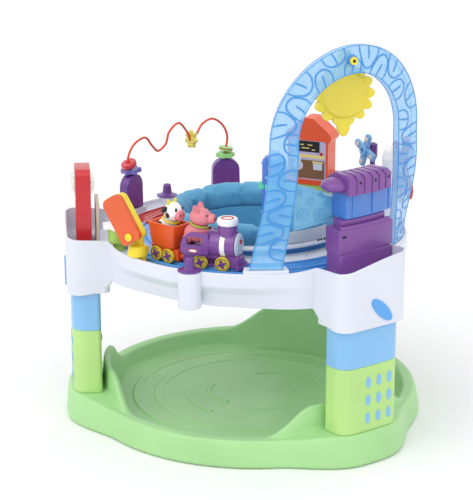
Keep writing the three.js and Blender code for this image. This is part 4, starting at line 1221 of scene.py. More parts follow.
def make_arch():
    inner = ARCH_R - ARCH_THICK / 2
    outer = ARCH_R + ARCH_THICK / 2
    band = Form().add(arch_band(-1, 1, inner, outer))
    for z, reach in ((CAGE_Z0 - 7, 278), (CAGE_Z1 + 1, 290)):
        length = reach - CAGE_R + 9
        band.add(
            prism(round_rect(20, length, 6, 6, 6), z, z + 6), 0,
            at_rim(CAGE_DEG, reach - length / 2),
        )
    make("arch_band", band, [ARCH_BLUE], "table", ["arch"], bevel=1.6, sharp=40)
    lines = Form()
    for face_in, face_out in ((outer - 0.2, outer + 0.7), (inner - 0.2, inner + 0.2)):
        for low, high in ((0.945, 0.999), (-0.999, -0.945)):
            lines.add(arch_band(low, high, face_in, face_out))
    for route in swirl_routes():
        lines.add(ribbon(curve(route), 3.4, outer - 0.2, outer + 0.7))
    make("arch_lines", lines, [ARCH_LINE], "table", sharp=50)

    sun_place = Matrix.Translation(polar(SUN_R, SUN_DEG)) @ turn_z(SUN_FACE_DEG - 90)
    boss = Form()
    boss.add(
        along_y(hoop([(6, 32), (9.5, 32), (9, 46.5), (6, 46.5)], 0.8, 3, 32)), 0,
        sun_place @ move(0, 0, BOLT_Z),
    )
    make("arch_boss", boss, [ARCH_LINE], "table", sharp=45)
    bolt = Form()
    cap = [(0, 46.8), (6.6, 46.8), (7, 48), (6.4, 53), (3, 53), (2.6, 50.5), (0, 50.5)]
    bolt.add(along_y(turned(cap, 0.7, 3, 32)), 0, sun_place @ move(0, 0, BOLT_Z))
    bolt.add(along_y(rod(4.8, -9, 46.5, 0.3, 24)), 0, sun_place @ move(0, 0, BOLT_Z))
    bolt.add(along_y(rod(9, -13, -8.5, 1, 32)), 0, sun_place @ move(0, 0, BOLT_Z))
    # painted shade: a dark disc in the recess of the cap
    bolt.add(along_y(rod(2.4, 50.6, 51.4, 0.2, 20)), 1, sun_place @ move(0, 0, BOLT_Z))
    make("sun_bolt_pin", bolt, [SUN_YELLOW, HOLE_SHADE], "table", ["sun_bolt"], sharp=45)

    outline = []
    for i in range(336):
        deg = 360 * i / 336
        lobe = abs(math.cos(math.radians(deg * 7)))
        radius = 43 + 11.6 * lobe**0.7
        low_ray = abs((deg - 90 + 180) % 360 - 180)
        if low_ray < 13:
            radius = max(radius, 46 + 27 * (1 - (low_ray / 13) ** 2) ** 0.8)
        outline.append(
            Vector((radius * math.cos(math.radians(deg)), radius * math.sin(math.radians(deg))))
        )
    sun = Form().add(along_y(prism(outline, -6.6, 6.6)), 0)
    dome = [(0, -11), (38, -11), (40.5, -8.5), (40.5, 8.5), (38, 11), (35, 11), (34, 10), (0, 10.4)]
    sun.add(along_y(turned(dome, 1.6, 4, 72)), 1)
    sun.add(box(22, 12, 38, 76, 5), 0)
    make(
        "sun_disc", sun, [SUN_YELLOW, SUN_FACE], "sun_body", ["sun"], bevel=2.2,
        place=sun_place @ move(0, 0, SUN_Z), sharp=38,
    )

    cage_at = Matrix.Translation(polar(CAGE_R, CAGE_DEG))
    shell = [
        (0, CAGE_Z0 - 5), (3, CAGE_Z0 - 5), (3, CAGE_Z0), (15, CAGE_Z0), (21, CAGE_Z0 + 8),
        (21, CAGE_Z1 - 8), (15, CAGE_Z1), (3, CAGE_Z1), (3, CAGE_Z1 + 5), (0, CAGE_Z1 + 5),
    ]
    cage = Form().add(turned(shell, 1.5, 3, 40), 0, cage_at)
    for k in range(11):
        high = CAGE_Z0 + 12 + 8.6 * k
        way = cage_at @ turn_z(73 * k)
        cage.add(
            prism(star(6, 8.6, 5.6, 4), -2.4, 2.4), 2 if k % 3 else 1,
            way @ move(9.5, 0, high) @ turn_y(60 + 11 * k),
        )
        cage.add(ball(3.4, steps=16), 1, way @ move(-19.5, 3, high))
        cage.add(ball(2.8, steps=14), 1, way @ move(4, 20, high + 4))
    cage.add(prism(star(6, 26.6, 18, 6), CAGE_Z0 + 53, CAGE_Z0 + 65), 3, cage_at)
    for k in range(6):
        cage.add(
            ball(3.6, steps=14), 3, cage_at @ turn_z(60 * k + 30) @ move(20.5, 0, CAGE_Z0 + 59),
        )
    make(
        "spinner_cage", cage, [CAGE_BLUE, CAGE_CLEAR, TRACK_BLUE, CAGE_GREEN], "arch_spinner_body",
        ["arch_spinner"], bevel=0.6, sharp=40, segments=2,
    )


# ---------- tunnel and sound box ----------

KEY_DEG = 306.6
KEY_Z = 376
BOX_IN = 262
BOX_OUT = 304


def panel_strip(inner, outer, low, high):
    """The panel or a line along it; heights count from its lower edge, or its upper if below 0."""
    points = []
    steps = 40
    for i in range(steps + 1):
        t = i / steps
        bottom = mix(400, 414, t)
        top = mix(486, 452, smooth(-0.3, 1.1, t))
        z0 = bottom + low if low >= 0 else top + low
        z1 = top + high if high <= 0 else bottom + high
        deg = mix(285, 303.5, t)
        corners = ((inner, z0), (outer, z0), (outer, z1), (inner, z1))
        points += [polar(radius, deg, z) for radius, z in corners]
    return points, ring_faces(4, steps + 1)


def make_tunnel():
    sound = Form()
    sound.add(block_sector(BOX_IN - 3, 274, DECK_Z + 1.2, 364, 298.4, 319.6, 24))
    sound.add(
        box(116, BOX_OUT - BOX_IN, DECK_Z + 1.2, 363.9, 6, -12), 0,
        at_rim(KEY_DEG, (BOX_OUT + BOX_IN) / 2),
    )
    outer = [
        (BOX_IN - 3, 363.5), (BOX_OUT, 363.5), (BOX_OUT, 406), (BOX_OUT - 2, 408),
        (BOX_IN - 1, 408), (BOX_IN - 3, 406),
    ]
    sound.add(sector(outer, 297.4, 321.4, 40))
    upper = [(BOX_IN + 4, 407), (BOX_OUT - 12, 407), (BOX_OUT - 12, 421), (BOX_IN + 4, 421)]
    sound.add(sector(upper, 299.5, 320, 32))
    lip = [(BOX_OUT - 11, 407), (BOX_OUT - 2, 407), (BOX_OUT - 4, 413), (BOX_OUT - 11, 412)]
    sound.add(sector(lip, 298.4, 320.6, 32))
    # painted shade: a dark oval for the shade inside the slot
    oval = stretched(along_y(rod(1, -1, 1.2, 0.1, 24)), 4.4, 1, 1.9)
    sound.add(oval, 1, at_rim(299.5, BOX_OUT) @ move(0, 0, 396))
    # painted shade: dark dots for the shade inside the speaker holes
    for k in range(5):
        sound.add(
            along_y(rod(2.2, -0.6, 0.7, 0.1, 18)), 1,
            at_rim(KEY_DEG, BOX_IN - 3) @ turn_z(180) @ move(-46 + 6.5 * (k - 2), 0, 385),
        )
    make("sound_case", sound, [PURPLE, HOLE_SHADE], "table", ["sound_box"], bevel=1.4, sharp=40)
    key = Form().add(
        along_y(turned([(0, 0), (18, 0), (18, 10), (0, 10)], 1.6, 4, 48)), 0,
        at_rim(KEY_DEG) @ move(0, BOX_IN - 5.5, KEY_Z),
    )
    key.add(
        along_y(prism(star(5, 11, 6), -0.9, 0.6)), 1,
        at_rim(KEY_DEG) @ move(0, BOX_IN - 5.5, KEY_Z),
    )
    make(
        "round_key", key, [WHEEL_YELLOW, RED], "sound_key_body", ["sound_key"],
        bevel=0.4, sharp=40,
    )

    wall = Form()
    outline = [(250, 421.6), (292, 421.6), (292, 465.4), (250, 465.4)]
    wall.add(sector(rounded(outline, 2.5, 3), 301.5, 323.5, 40))
    for k in range(3):
        wall.add(block_sector(291.5, 293.4, 425, 462, 304 + 8.8 * k, 304.4 + 8.8 * k, 2), 0)
    make("tunnel_side", wall, [CLEAR_BLUE], "table", ["tunnel_wall"], sharp=40)

    roof = Form()
    cover = [(240, 466.3), (306, 466.3), (306, 494), (297, 500), (262, 500), (240, 488)]
    roof.add(
        sector([(mix(273, r, 0.95), z - 2.5 if z > 470 else z) for r, z in cover], 300.8, 319, 30)
    )
    for k in range(6):
        mid = 302 + 3.2 * k
        roof.add(sector(cover, mid - 1.3, mid + 1.3, 6))
        if k % 2 == 1:
            # painted shade: dark dots for the shade inside the holes of the cover
            roof.add(along_y(rod(2.6, 305.4, 306.5, 0.2, 20)), 1, at_rim(mid) @ move(0, 0, 487))
    roof.add(ball(1, (30, 25, 13), 40), 0, at_rim(300.4, 272) @ move(0, 0, 480))
    make(
        "tunnel_cover", roof, [PURPLE, HOLE_SHADE], "table", ["tunnel_roof"], bevel=0.9,
        sharp=38, segments=2,
    )

    panel = Form()
    panel.add(panel_strip(241, 249, 0, 0))
    for low, high in ((3, 5.5), (-6, -3)):
        panel.add(panel_strip(248.8, 249.9, low, high), 1)
    for deg, z, size in (
        (288.7, 427, 11), (295.6, 424, 11), (291.9, 450, 8), (299.6, 441, 8), (287.2, 466, 7),
        (296.2, 462, 5.5),
    ):
        loop = hoop([(size - 2.4, -0.6), (size, -0.6), (size, 0.9), (size - 2.4, 0.9)], 0.5, 2, 36)
        panel.add(along_y(loop), 1, at_rim(deg, 249.2) @ move(0, 0, z))
        panel.add(
            along_y(rod(size * 0.42, -0.6, 0.8, 0.3, 24)), 1, at_rim(deg, 249.2) @ move(0, 0, z),
        )
    make(
        "light_panel_cover", panel, [PALE_BLUE, PALE_DEEP], "table", ["light_panel"],
        sharp=40,
    )


# ---------- train ----------

AXLE_Z = GROOVE_Z + 0.5 + WHEEL_R
LOCO_DEG = 251
WAGON_DEG = 227.5
LOCO_AXLES = (-18, 22)
WAGON_AXLES = (-14, 14)
CHASSIS_W = 2 * (GAUGE_HALF - WHEEL_T / 2) - 2
BOILER_Z = 370.5


def wheel_pair(x):
    """Two wheels on one axle, with a four-pointed hub on each side."""
    form = Form()
    for side in (-1, 1):
        at = move(x, side * GAUGE_HALF, AXLE_Z) @ turn_z(0 if side > 0 else 180)
        tyre = [
            (0, -3.5), (WHEEL_R - 0.8, -3.5), (WHEEL_R, -2.6), (WHEEL_R, 2.6), (WHEEL_R - 0.8, 3.5),
            (10.4, 3.5), (9.6, 2.1), (0, 2.1),
        ]
        form.add(along_y(turned(tyre, 0.7, 3, 48)), 0, at)
        # painted shade: a dark ring in the groove between tyre and hub
        form.add(
            along_y(hoop([(10.2, 2.2), (11.2, 2.2), (11.2, 3.7), (10.2, 3.7)], 0.2, 2, 48)), 2, at,
        )
        form.add(along_y(prism(star(4, 8.2, 3.4, 6), 1.6, 4.4)), 1, at @ turn_y(20))
        form.add(along_y(rod(2.6, 1.6, 5.0, 0.6, 20)), 1, at)
    form.add(along_y(rod(3, -GAUGE_HALF, GAUGE_HALF, 0, 20)), 0, move(x, 0, AXLE_Z))
    return form


def bigger(x, z, along, across, up):
    """Grows a figure about a point of the train."""
    return move(x, 0, z) @ Matrix.Diagonal((along, across, up, 1)) @ move(-x, 0, -z)


def make_loco():
    place = to_track(LOCO_DEG)
    body = Form()
    body.add(box(104, CHASSIS_W, 331, 354, 3))
    body.add(box(46, CHASSIS_W, 336, 346, 3, 4))
    window = shifted(round_rect(28, 15, 5, 3, 5), 0, 377)
    side = [
        (-25, 354), (25, 354), (25, 392), (12, 392), (-8, 392),
        (-20, 383), (-25, 370),
    ]
    side = rounded(side, 4, 4)
    for y in (-23, 19):
        wall = prism(side, y, y + 4, [window])
        body.add(
            moved(
                wall,
                move(-27, 0, 0) @ Matrix(((1, 0, 0, 0), (0, 0, 1, 0), (0, 1, 0, 0), (0, 0, 0, 1))),
            )
        )
    body.add(box(46, 40, 354, 366, 3, -27))
    body.add(box(5, 40, 360, 392, 2, -5))
    body.add(along_x(rod(22.5, -6, 44, 2.2, 56)), 0, move(0, 0, BOILER_Z))
    body.add(
        along_x(hoop([(20, 18), (22.9, 18), (22.9, 27), (20, 27)], 0.4, 2, 56)), 1,
        move(0, 0, BOILER_Z),
    )
    body.add(
        along_x(hoop([(20, 39), (23.3, 39), (23.3, 43.8), (20, 43.8)], 0.8, 2, 56)), 0,
        move(0, 0, BOILER_Z),
    )
    body.add(
        turned([(0, 380), (16.6, 380), (17, 392), (17, 404), (0, 404)], 1.2, 4, 44), 0,
        move(26, 0, 0),
    )
    plow = [(47, -20), (52, -20), (61, -7), (61, 7), (52, 20), (47, 20)]
    body.add(prism(rounded(plow, 3, 4), 331, 338))
    upper = [(47, -17), (50, -17), (56.5, -6), (56.5, 6), (50, 17), (47, 17)]
    body.add(prism(rounded(upper, 3, 4), 337.5, 344))
    for y, turn in ((-23.1, 180), (23.1, 0)):
        at = move(-29, y, 359.5) @ turn_z(turn)
        plate = stretched(along_y(rod(1, -0.4, 0.6, 0.1, 32)), 8.5, 1, 3.6)
        body.add(plate, 2, at)
        inner = stretched(along_y(rod(1, -0.4, 0.6, 0.1, 32)), 7, 1.5, 2.4)
        body.add(inner, 1, at)
        for low in (351.5, 366.8):
            body.add(box(44, 1.6, low, low + 1.4, 0.7, -27, y))
    make(
        "loco_shell", body, [PURPLE, TRIM_WHITE, RED], "table", ["loco_body"], bevel=1.0,
        place=place, sharp=40,
    )

    cap = Form()
    rim = [
        (0, 404.4), (16, 404.4), (18.4, 407), (18.8, 412), (17.5, 416.5), (14, 418), (12.5, 416.6),
        (0, 416.6),
    ]
    cap.add(turned(rim, 1.4, 4, 48), 0, move(26, 0, 0))
    cap.add(
        hoop([(8.6, 416), (11.2, 416), (11.2, 417.8), (8.6, 417.8)], 0.5, 2, 48), 1, move(26, 0, 0),
    )
    make(
        "loco_cap", cap, [TRIM_WHITE, RED], "table", ["loco_chimney_cap"],
        place=place, sharp=45,
    )

    face = Form()
    disc = [(0, 44.35), (20.5, 44.35), (21, 45.4), (20, 48), (16, 49), (0, 49.6)]
    face.add(along_x(turned(disc, 1.1, 4, 56)), 0, move(0, 0, BOILER_Z))
    face.add(
        along_x(hoop([(14.6, 48.6), (16.2, 48.6), (16.2, 50), (14.6, 50)], 0.5, 2, 48)), 0,
        move(0, 0, BOILER_Z),
    )
    face.add(ball(4.2, (0.6, 1, 1), 20), 1, move(50, 0, BOILER_Z + 6))
    make(
        "loco_front", face, [FACE_GREY, RED], "table", ["loco_face"], place=place,
        sharp=45,
    )
    for i, x in enumerate(LOCO_AXLES):
        make(
            f"loco_wheel_pair_{i + 1}", wheel_pair(x), [WHEEL_YELLOW, DEEP_PURPLE, PAINTED_WHEEL_SHADOW],
            f"loco_wheels_{i + 1}_body", [f"loco_wheels_{i + 1}"], bevel=0.3,
            place=place, segments=2,
        )

    pig = Form()
    pig.add(ball(1, (19, 13.5, 16), 32), 0, move(-30, 0, 384) @ turn_y(-12))
    pig.add(ball(1, (16, 14.5, 15), 32), 0, move(-24, 0, 410))
    pig.add(
        along_x(turned([(0, -14), (8.4, -14), (7.4, -3), (0, -3)], 1.6, 4, 32)), 0,
        move(0, 0, 408.5),
    )
    pig.add(ball(1, (1.4, 5.6, 4.6), 20), 1, move(-3.4, 0, 408.5))
    for y in (-2.3, 2.3):
        pig.add(ball(1, (0.9, 1.1, 1.6), 12), 3, move(-1.9, y, 408.8))
    for y in (-1, 1):
        ear = [(-6, 0), (6, 0), (3.4, 10), (0, 14), (-4, 9)]
        pig.add(
            moved(prism(rounded(ear, 4, 4), -2, 2), turn_x(90)), 0,
            move(-27, y * 9, 419) @ turn_z(25 * y) @ turn_x(-22 * y),
        )
        pig.add(ball(1.7, (0.8, 1, 1.2), 14), 3, move(-12.5, y * 8.2, 414.5))
        pig.add(ball(1, (6.4, 5.4, 9), 20), 0, move(-42, y * 8.5, 375))
        pig.add(ball(1, (5.6, 5, 3.6), 18), 3, move(-42.5, y * 8.5, 368.4))
        pig.add(ball(1, (5, 5, 8), 20), 0, move(-18, y * 8.5, 377))
    pig.add(collar(12.6, 1.7, 44), 2, move(-26, 0, 397.5) @ turn_y(14))
    make(
        "pig_figure", pig, [PINK, PINK_DEEP, COLLAR, BLACK], "table", ["pig"], bevel=0.8,
        place=place @ bigger(-29, 366, 1.22, 1.1, 1.1), sharp=55,
    )


def make_wagon():
    place = to_track(WAGON_DEG)
    wagon = Form()
    wagon.add(box(66, CHASSIS_W, 331, 352, 3))
    wagon.add(box(72, 14, 336, 344, 3, 4))
    ring = round_rect(66, 46, 7, 7, 6)
    hollow = round_rect(56, 36, 5, 5, 6)
    points = []
    levels = (
        (353, 0.76, ring), (358, 0.84, ring), (395, 1.0, ring), (395, 1.0, hollow),
        (362, 0.86, hollow),
    )
    for z, scale, outline in levels:
        points += [Vector((p.x * scale, p.y * scale, z)) for p in outline]
    wagon.add((points, ring_faces(len(ring), len(levels))))
    wagon.add(box(16, 8, 338, 345, 2.5, 37))
    make(
        "wagon_shell", wagon, [ORANGE], "table", ["wagon_body"], bevel=1.2, place=place,
        sharp=40,
    )
    for i, x in enumerate(WAGON_AXLES):
        make(
            f"wagon_wheel_pair_{i + 1}", wheel_pair(x), [WHEEL_YELLOW, DEEP_PURPLE, PAINTED_WHEEL_SHADOW],
            f"wagon_wheels_{i + 1}_body", [f"wagon_wheels_{i + 1}"], bevel=0.3,
            place=place, segments=2,
        )
    cow = Form()
    cow.add(ball(1, (17, 13, 14), 32), 0, move(-4, 0, 383) @ turn_y(-20))
    cow.add(ball(1, (15, 13.5, 15), 32), 0, move(9, 0, 408))
    muzzle = [(0, 14), (8.6, 14), (9, 18), (8, 26.4), (0, 27)]
    cow.add(along_x(turned(muzzle, 2.4, 4, 32)), 1, move(0, 0, 404.5))
    for y in (-3.2, 3.2):
        cow.add(ball(1, (0.8, 1.2, 1.5), 12), 3, move(26.6, y, 405.5))
    for y in (-1, 1):
        cow.add(ball(1, (3.2, 6.4, 4.2), 18), 3, move(5, y * 14.5, 413) @ turn_x(-18 * y))
        cow.add(ball(1, (1.7, 2.0, 3.4), 16), 3, move(20.8, y * 6.6, 413.5))
        cow.add(
            turned([(0, 0), (3, 0), (2.2, 6), (0, 9)], 1.2, 3, 18), 2,
            move(6, y * 6.5, 419.5) @ turn_x(-12 * y),
        )
        cow.add(ball(1, (6, 2.2, 6), 18), 3, move(-8, y * 11.4, 386))
    cow.add(ball(1, (5, 4, 2.6), 18), 2, move(7, 0, 421.2))
    cow.add(ball(1, (4, 1.6, 5), 16), 3, move(9, -12.4, 405))
    cow.add(ball(1, (5.4, 1.6, 4.2), 16), 3, move(2, 12.6, 408))
    cow.add(collar(12, 1.5, 40), 2, move(4, 0, 395) @ turn_y(18))
    make(
        "cow_figure", cow, [TRIM_WHITE, PINK, YELLOW, BLACK], "table", ["cow"],
        bevel=0.4, place=place @ bigger(0, 364, 1.2, 1.16, 1.16), sharp=60, segments=2,
    )


# ---------- crossing gate ----------

GATE = {"deg": 220, "radius": 268, "yaw": 238, "hinge_z": 375}
FOOT_R = 10.5
FOOT_AT = 260.5


def upright(shape):
    """Turns a shape drawn in XY so that its Y becomes Z and its thickness runs along -Y."""
    return moved(shape, turn_x(90))


def make_gate():
    place = Matrix.Translation(polar(GATE["radius"], GATE["deg"])) @ turn_z(GATE["yaw"] - 90)
    post = Form()
    step = [(0, RIM_Z + 1), (17.5, RIM_Z + 1), (18, RIM_Z + 6), (16.5, 349), (15, 355), (0, 356)]
    post.add(turned(step, 1.6, 4, 48), 0, place)
    post.add(box(18, 9, 354, 389, 3, 0, -5), 0, place)
    post.add(box(30, 13, 341, 352, 3, 0, -9), 0, place)
    post.add(along_y(rod(4, -6, 26, 0.4, 28)), 0, place @ move(0, 0, GATE["hinge_z"]))
    post.add(along_y(rod(7, 24.8, 28, 0.8, 32)), 0, place @ move(0, 0, GATE["hinge_z"]))
    post.add(rod(FOOT_R - 1, DECK_Z + GAP, RIM_Z + 4, 0.6, 36), 0, at_rim(GATE["deg"], FOOT_AT))
    make("gate_stand", post, [YELLOW], "table", ["gate_post"], bevel=1.0, sharp=40)

    hang = place @ move(0, 0.3, GATE["hinge_z"]) @ turn_y(33)
    outline = shifted(round_rect(43, 88, 13, 9, 8), 0, 33)
    shell = Form().add(upright(prism(outline, -24, -14.6)), 0)
    raised = shifted(round_rect(30, 68, 8, 6, 8), 0, 35)
    shell.add(upright(prism(raised, -24.2, -23.5)), 0)
    make(
        "gate_flag", shell, [GATE_ORANGE], "gate_arm_body", ["gate_arm"], bevel=2.0,
        place=hang, sharp=40,
    )
    band = Form().add(upright(prism(outline, -14.4, -0.3)), 0)
    make(
        "gate_flag_band", band, [YELLOW], "gate_arm_body", bevel=1.6, place=hang,
        sharp=40,
    )


# ---------- bead run ----------

POST_R = 268
POST_TOP = 404
WIRE_R = 2.3


def make_bead_run():
    for name, deg in BEAD_POSTS:
        outline = [
            Vector((-28, RIM_Z + GAP)), Vector((-9, RIM_Z + GAP)), Vector((-9, RIM_Z + 5)),
            Vector((9, RIM_Z + 5)),
        ]
        outline += [Vector((9, RIM_Z + GAP)), Vector((28, RIM_Z + GAP))]
        for i in range(25):
            angle = math.pi * i / 24
            outline.append(Vector((27 * math.cos(angle), POST_TOP - 24 + 24 * math.sin(angle))))
        post = Form().add(upright(prism(outline, -9.6, 9.6)))
        inset = [Vector((p.x * 0.8, (p.y - 366) * 0.82 + 367)) for p in outline if p.y > RIM_Z + 8]
        post.add(upright(prism(inset, -10, 10)))
        make(
            f"bead_stand_{name}", post, [DEEP_PURPLE], "table", [f"bead_post_{name}"],
            bevel=2.6, place=at_rim(deg, POST_R), sharp=40,
        )

    start = polar(POST_R, BEAD_POSTS[0][1], POST_TOP - 12)
    end = polar(POST_R, BEAD_POSTS[1][1], POST_TOP - 12)
    stations = (
        (0, POST_TOP - 12), (0, POST_TOP + 8), (-0.03, 432), (0.03, 459), (0.15, 470), (0.22, 452),
        (0.28, 440),
        (0.36, 451), (0.4, 474), (0.5, 488), (0.58, 470), (0.63, 452), (0.69, 462), (0.75, 479),
        (0.86, 486),
        (0.97, 470), (1.02, 446), (1.0, POST_TOP + 12), (1.0, POST_TOP - 12),
    )
    points = []
    for t, z in stations:
        p = start.lerp(end, t)
        p.z = z
        points.append(p)
    wire = sweep(centripetal(points, 14), WIRE_R, 14)
    make(
        "bead_rail", Form().add(wire), [WIRE_ORANGE], "table", ["bead_wire"],
        sharp=60,
    )

    for name, node, slot, paint, shape, joint in (
        (
            "star_lavender", "bead_star_lavender", "lavender", LAVENDER, (6, 20, 14.5, 4),
            "bead_star_lavender_turn",
        ),
        ("disc_red", "bead_disc_red", "red_plastic", BEAD_RED, (0, 15, 0, 5), "bead_disc_red_turn"),
        (
            "star_yellow", "bead_star_yellow", "yellow", BEAD_YELLOW, (7, 18, 12.5, 3.5),
            "bead_star_yellow_turn",
        ),
        (
            "disc_green", "bead_disc_green", "bead_green", BEAD_GREEN, (0, 14, 0, 4.5),
            "bead_disc_green_turn",
        ),
        (
            "star_green", "bead_star_green", "bead_green", BEAD_GREEN, (6, 19, 13.5, 4),
            "bead_star_green_turn",
        ),
    ):
        hinge = next(j for j in frame["joints"] if j["name"] == joint)
        axis = Vector(hinge["axis"]).normalized()
        turn = Vector((0, 0, 1)).rotation_difference(axis).to_matrix().to_4x4()
        place = Matrix.Translation(Vector(hinge["pos_m"]) / MM - Vector((0, 0, LIFT))) @ turn
        count, size, hollow, half = shape
        bore = [
            Vector((4 * math.cos(-math.pi * k / 9), 4 * math.sin(-math.pi * k / 9)))
            for k in range(18)
        ]
        bead = Form()
        if count:
            bead.add(prism(star(count, size, hollow, 5), -half, half, [bore]), 0)
            bead.add(
                hoop(
                    [(4, -half - 0.3), (8, -half - 0.3), (8, half + 0.3), (4, half + 0.3)], 0.5, 2,
                    32,
                ),
                0,
            )
        else:
            bead.add(hoop([(4, -half), (size, -half), (size, half), (4, half)], 2.6, 4, 44), 0)
            bead.add(
                hoop(
                    [(size - 0.4, -1.1), (size + 0.2, -1.1), (size + 0.2, 1.1), (size - 0.4, 1.1)],
                    0.3, 2, 44,
                ),
                1,
            )
        second = RED if name == "disc_green" else paint
        make(
            f"run_{name}", bead, [paint, second], f"{node}_body", [node], bevel=0.9,
            place=place, sharp=45,
        )


def centripetal(points, steps):
    """A smooth path through the points that keeps close to them."""
    points = [points[0] * 2 - points[1], *points, points[-1] * 2 - points[-2]]
    path = []
    for i in range(1, len(points) - 2):
        p0, p1, p2, p3 = points[i - 1 : i + 3]
        t0 = 0.0
        t1 = t0 + (p1 - p0).length ** 0.5
        t2 = t1 + (p2 - p1).length ** 0.5
        t3 = t2 + (p3 - p2).length ** 0.5
        for k in range(steps):
            t = t1 + (t2 - t1) * k / steps
            a1 = p0 * ((t1 - t) / (t1 - t0)) + p1 * ((t - t0) / (t1 - t0))
            a2 = p1 * ((t2 - t) / (t2 - t1)) + p2 * ((t - t1) / (t2 - t1))
            a3 = p2 * ((t3 - t) / (t3 - t2)) + p3 * ((t - t2) / (t3 - t2))
            b1 = a1 * ((t2 - t) / (t2 - t0)) + a2 * ((t - t0) / (t2 - t0))
            b2 = a2 * ((t3 - t) / (t3 - t1)) + a3 * ((t - t1) / (t3 - t1))
            path.append(b1 * ((t2 - t) / (t2 - t1)) + b2 * ((t - t1) / (t2 - t1)))
    path.append(points[-2])
    return path


# ---------- pegs and the toys on the towers ----------


def make_pegs():
    for i, deg in enumerate(PEG_ANGLES):
        profile = [
            (0, RIM_Z + GAP), (20.6, RIM_Z + GAP), (21, RIM_Z + 2.4), (9.5, RIM_Z + 5),
            (8, RIM_Z + 19), (6.6, RIM_Z + 24), (0, RIM_Z + 25),
        ]
        peg = Form().add(turned(profile, 2.4, 5, 48))
        make(
            f"rim_peg_{i + 1}", peg, [DEEP_PURPLE], "table", [f"peg_{i + 1}"],
            place=at_rim(deg, PEG_R), sharp=50,
        )


FRAME_DEG = 186.6
FRAME_R = 313
DRUM_Z = 433


def make_left_tower():
    place = at_rim(FRAME_DEG, FRAME_R)
    outline = shifted(round_rect(78, 139.6, 16, 4, 8), 0, DECK_Z + 70.4)
    window = shifted(round_rect(54, 50, 10, 10, 6), 0, DRUM_Z)
    rattle = Form().add(upright(prism(outline, -13.6, 13.6, [window])), 0)
    lower = shifted(round_rect(60, 62, 10, 6, 6), 0, 367)
    for low, high in ((13.2, 14), (-14, -13.2)):
        rattle.add(upright(prism(lower, low, high)), 0)
    for x in (-1, 1):
        rattle.add(
            along_x(rod(6, 34, 39.3, 0.8, 28)), 0, move(0, 0, DRUM_Z) @ turn_z(0 if x > 0 else 180),
        )
    make(
        "rattle_housing", rattle, [RED], "table", ["rattle_frame"], bevel=2.2,
        place=place, sharp=40,
    )

    drum = Form()
    shell = [(0, -25), (19, -25), (22, -22), (22, 22), (19, 25), (0, 25)]
    drum.add(along_x(turned(shell, 2, 4, 48)), 0, move(0, 0, DRUM_Z))
    drum.add(along_x(rod(2.9, -34, 34, 0.3, 20)), 1, move(0, 0, DRUM_Z))
    for k in range(9):
        angle = math.radians(137 * k)
        drum.add(
            ball(3.4, steps=16), 2 + k % 3,
            move(-17 + 4.3 * k, 13 * math.cos(angle), DRUM_Z + 13 * math.sin(angle)),
        )
    make(
        "rattle_tumbler", drum, [DRUM_CLEAR, RED, YELLOW, TRACK_BLUE, LIME_TOY], "rattle_drum_body",
        ["rattle_drum"], place=place, sharp=45,
    )

    plate = Form().add(box(56, 6.6, DECK_Z + GAP, 402, 2.4), 0)
    inset = shifted(round_rect(46, 48, 4, 4, 5), 0, 371)
    plate.add(upright(prism(inset, 3.2, 3.9)), 1)
    hills = [(-23, 348), (23, 348), (23, 362), (8, 372), (-8, 360), (-23, 368)]
    plate.add(upright(prism(rounded(hills, 4, 4), 3.6, 4.2)), 2)
    plate.add(upright(rod(6, 3.6, 4.2, 0.1, 28)), 3, move(10, 0, 384))
    make(
        "rattle_plate", plate, [CREAM, PICTURE_SKY, LIME_TOY, YELLOW], "table",
        ["picture_plate"], bevel=0.5, place=at_rim(FRAME_DEG, 288), sharp=40, segments=2,
    )

    deg, radius = 201, 264
    post = Form()
    post.add(
        turned([(0, RIM_Z + 2), (16, RIM_Z + 2), (15, 350), (16, 364), (0, 364)], 1.4, 4, 44), 0,
        at_rim(deg, radius),
    )
    post.add(rod(FOOT_R, DECK_Z + GAP, RIM_Z + 4, 0.5, 36), 0, at_rim(deg, FOOT_AT))
    post.add(rod(3, 362, 372, 0.6, 24), 0, at_rim(deg, radius))
    make("star_stand", post, [LIME_TOY], "table", ["star_post"], sharp=45)
    bore = [
        Vector((3.3 * math.cos(-math.pi * k / 9), 3.3 * math.sin(-math.pi * k / 9)))
        for k in range(18)
    ]
    wheel = Form().add(prism(star(7, 27, 19.5, 5), 364 + GAP, 370.8, [bore]), 0)
    wheel.add(hoop([(3.4, 364.4), (8, 364.4), (8, 371.8), (3.4, 371.8)], 0.8, 3, 32), 0)
    make(
        "star_spinner", wheel, [TRIM_WHITE], "star_wheel_body", ["star_wheel"],
        bevel=1.2, place=at_rim(deg, radius), sharp=42,
    )


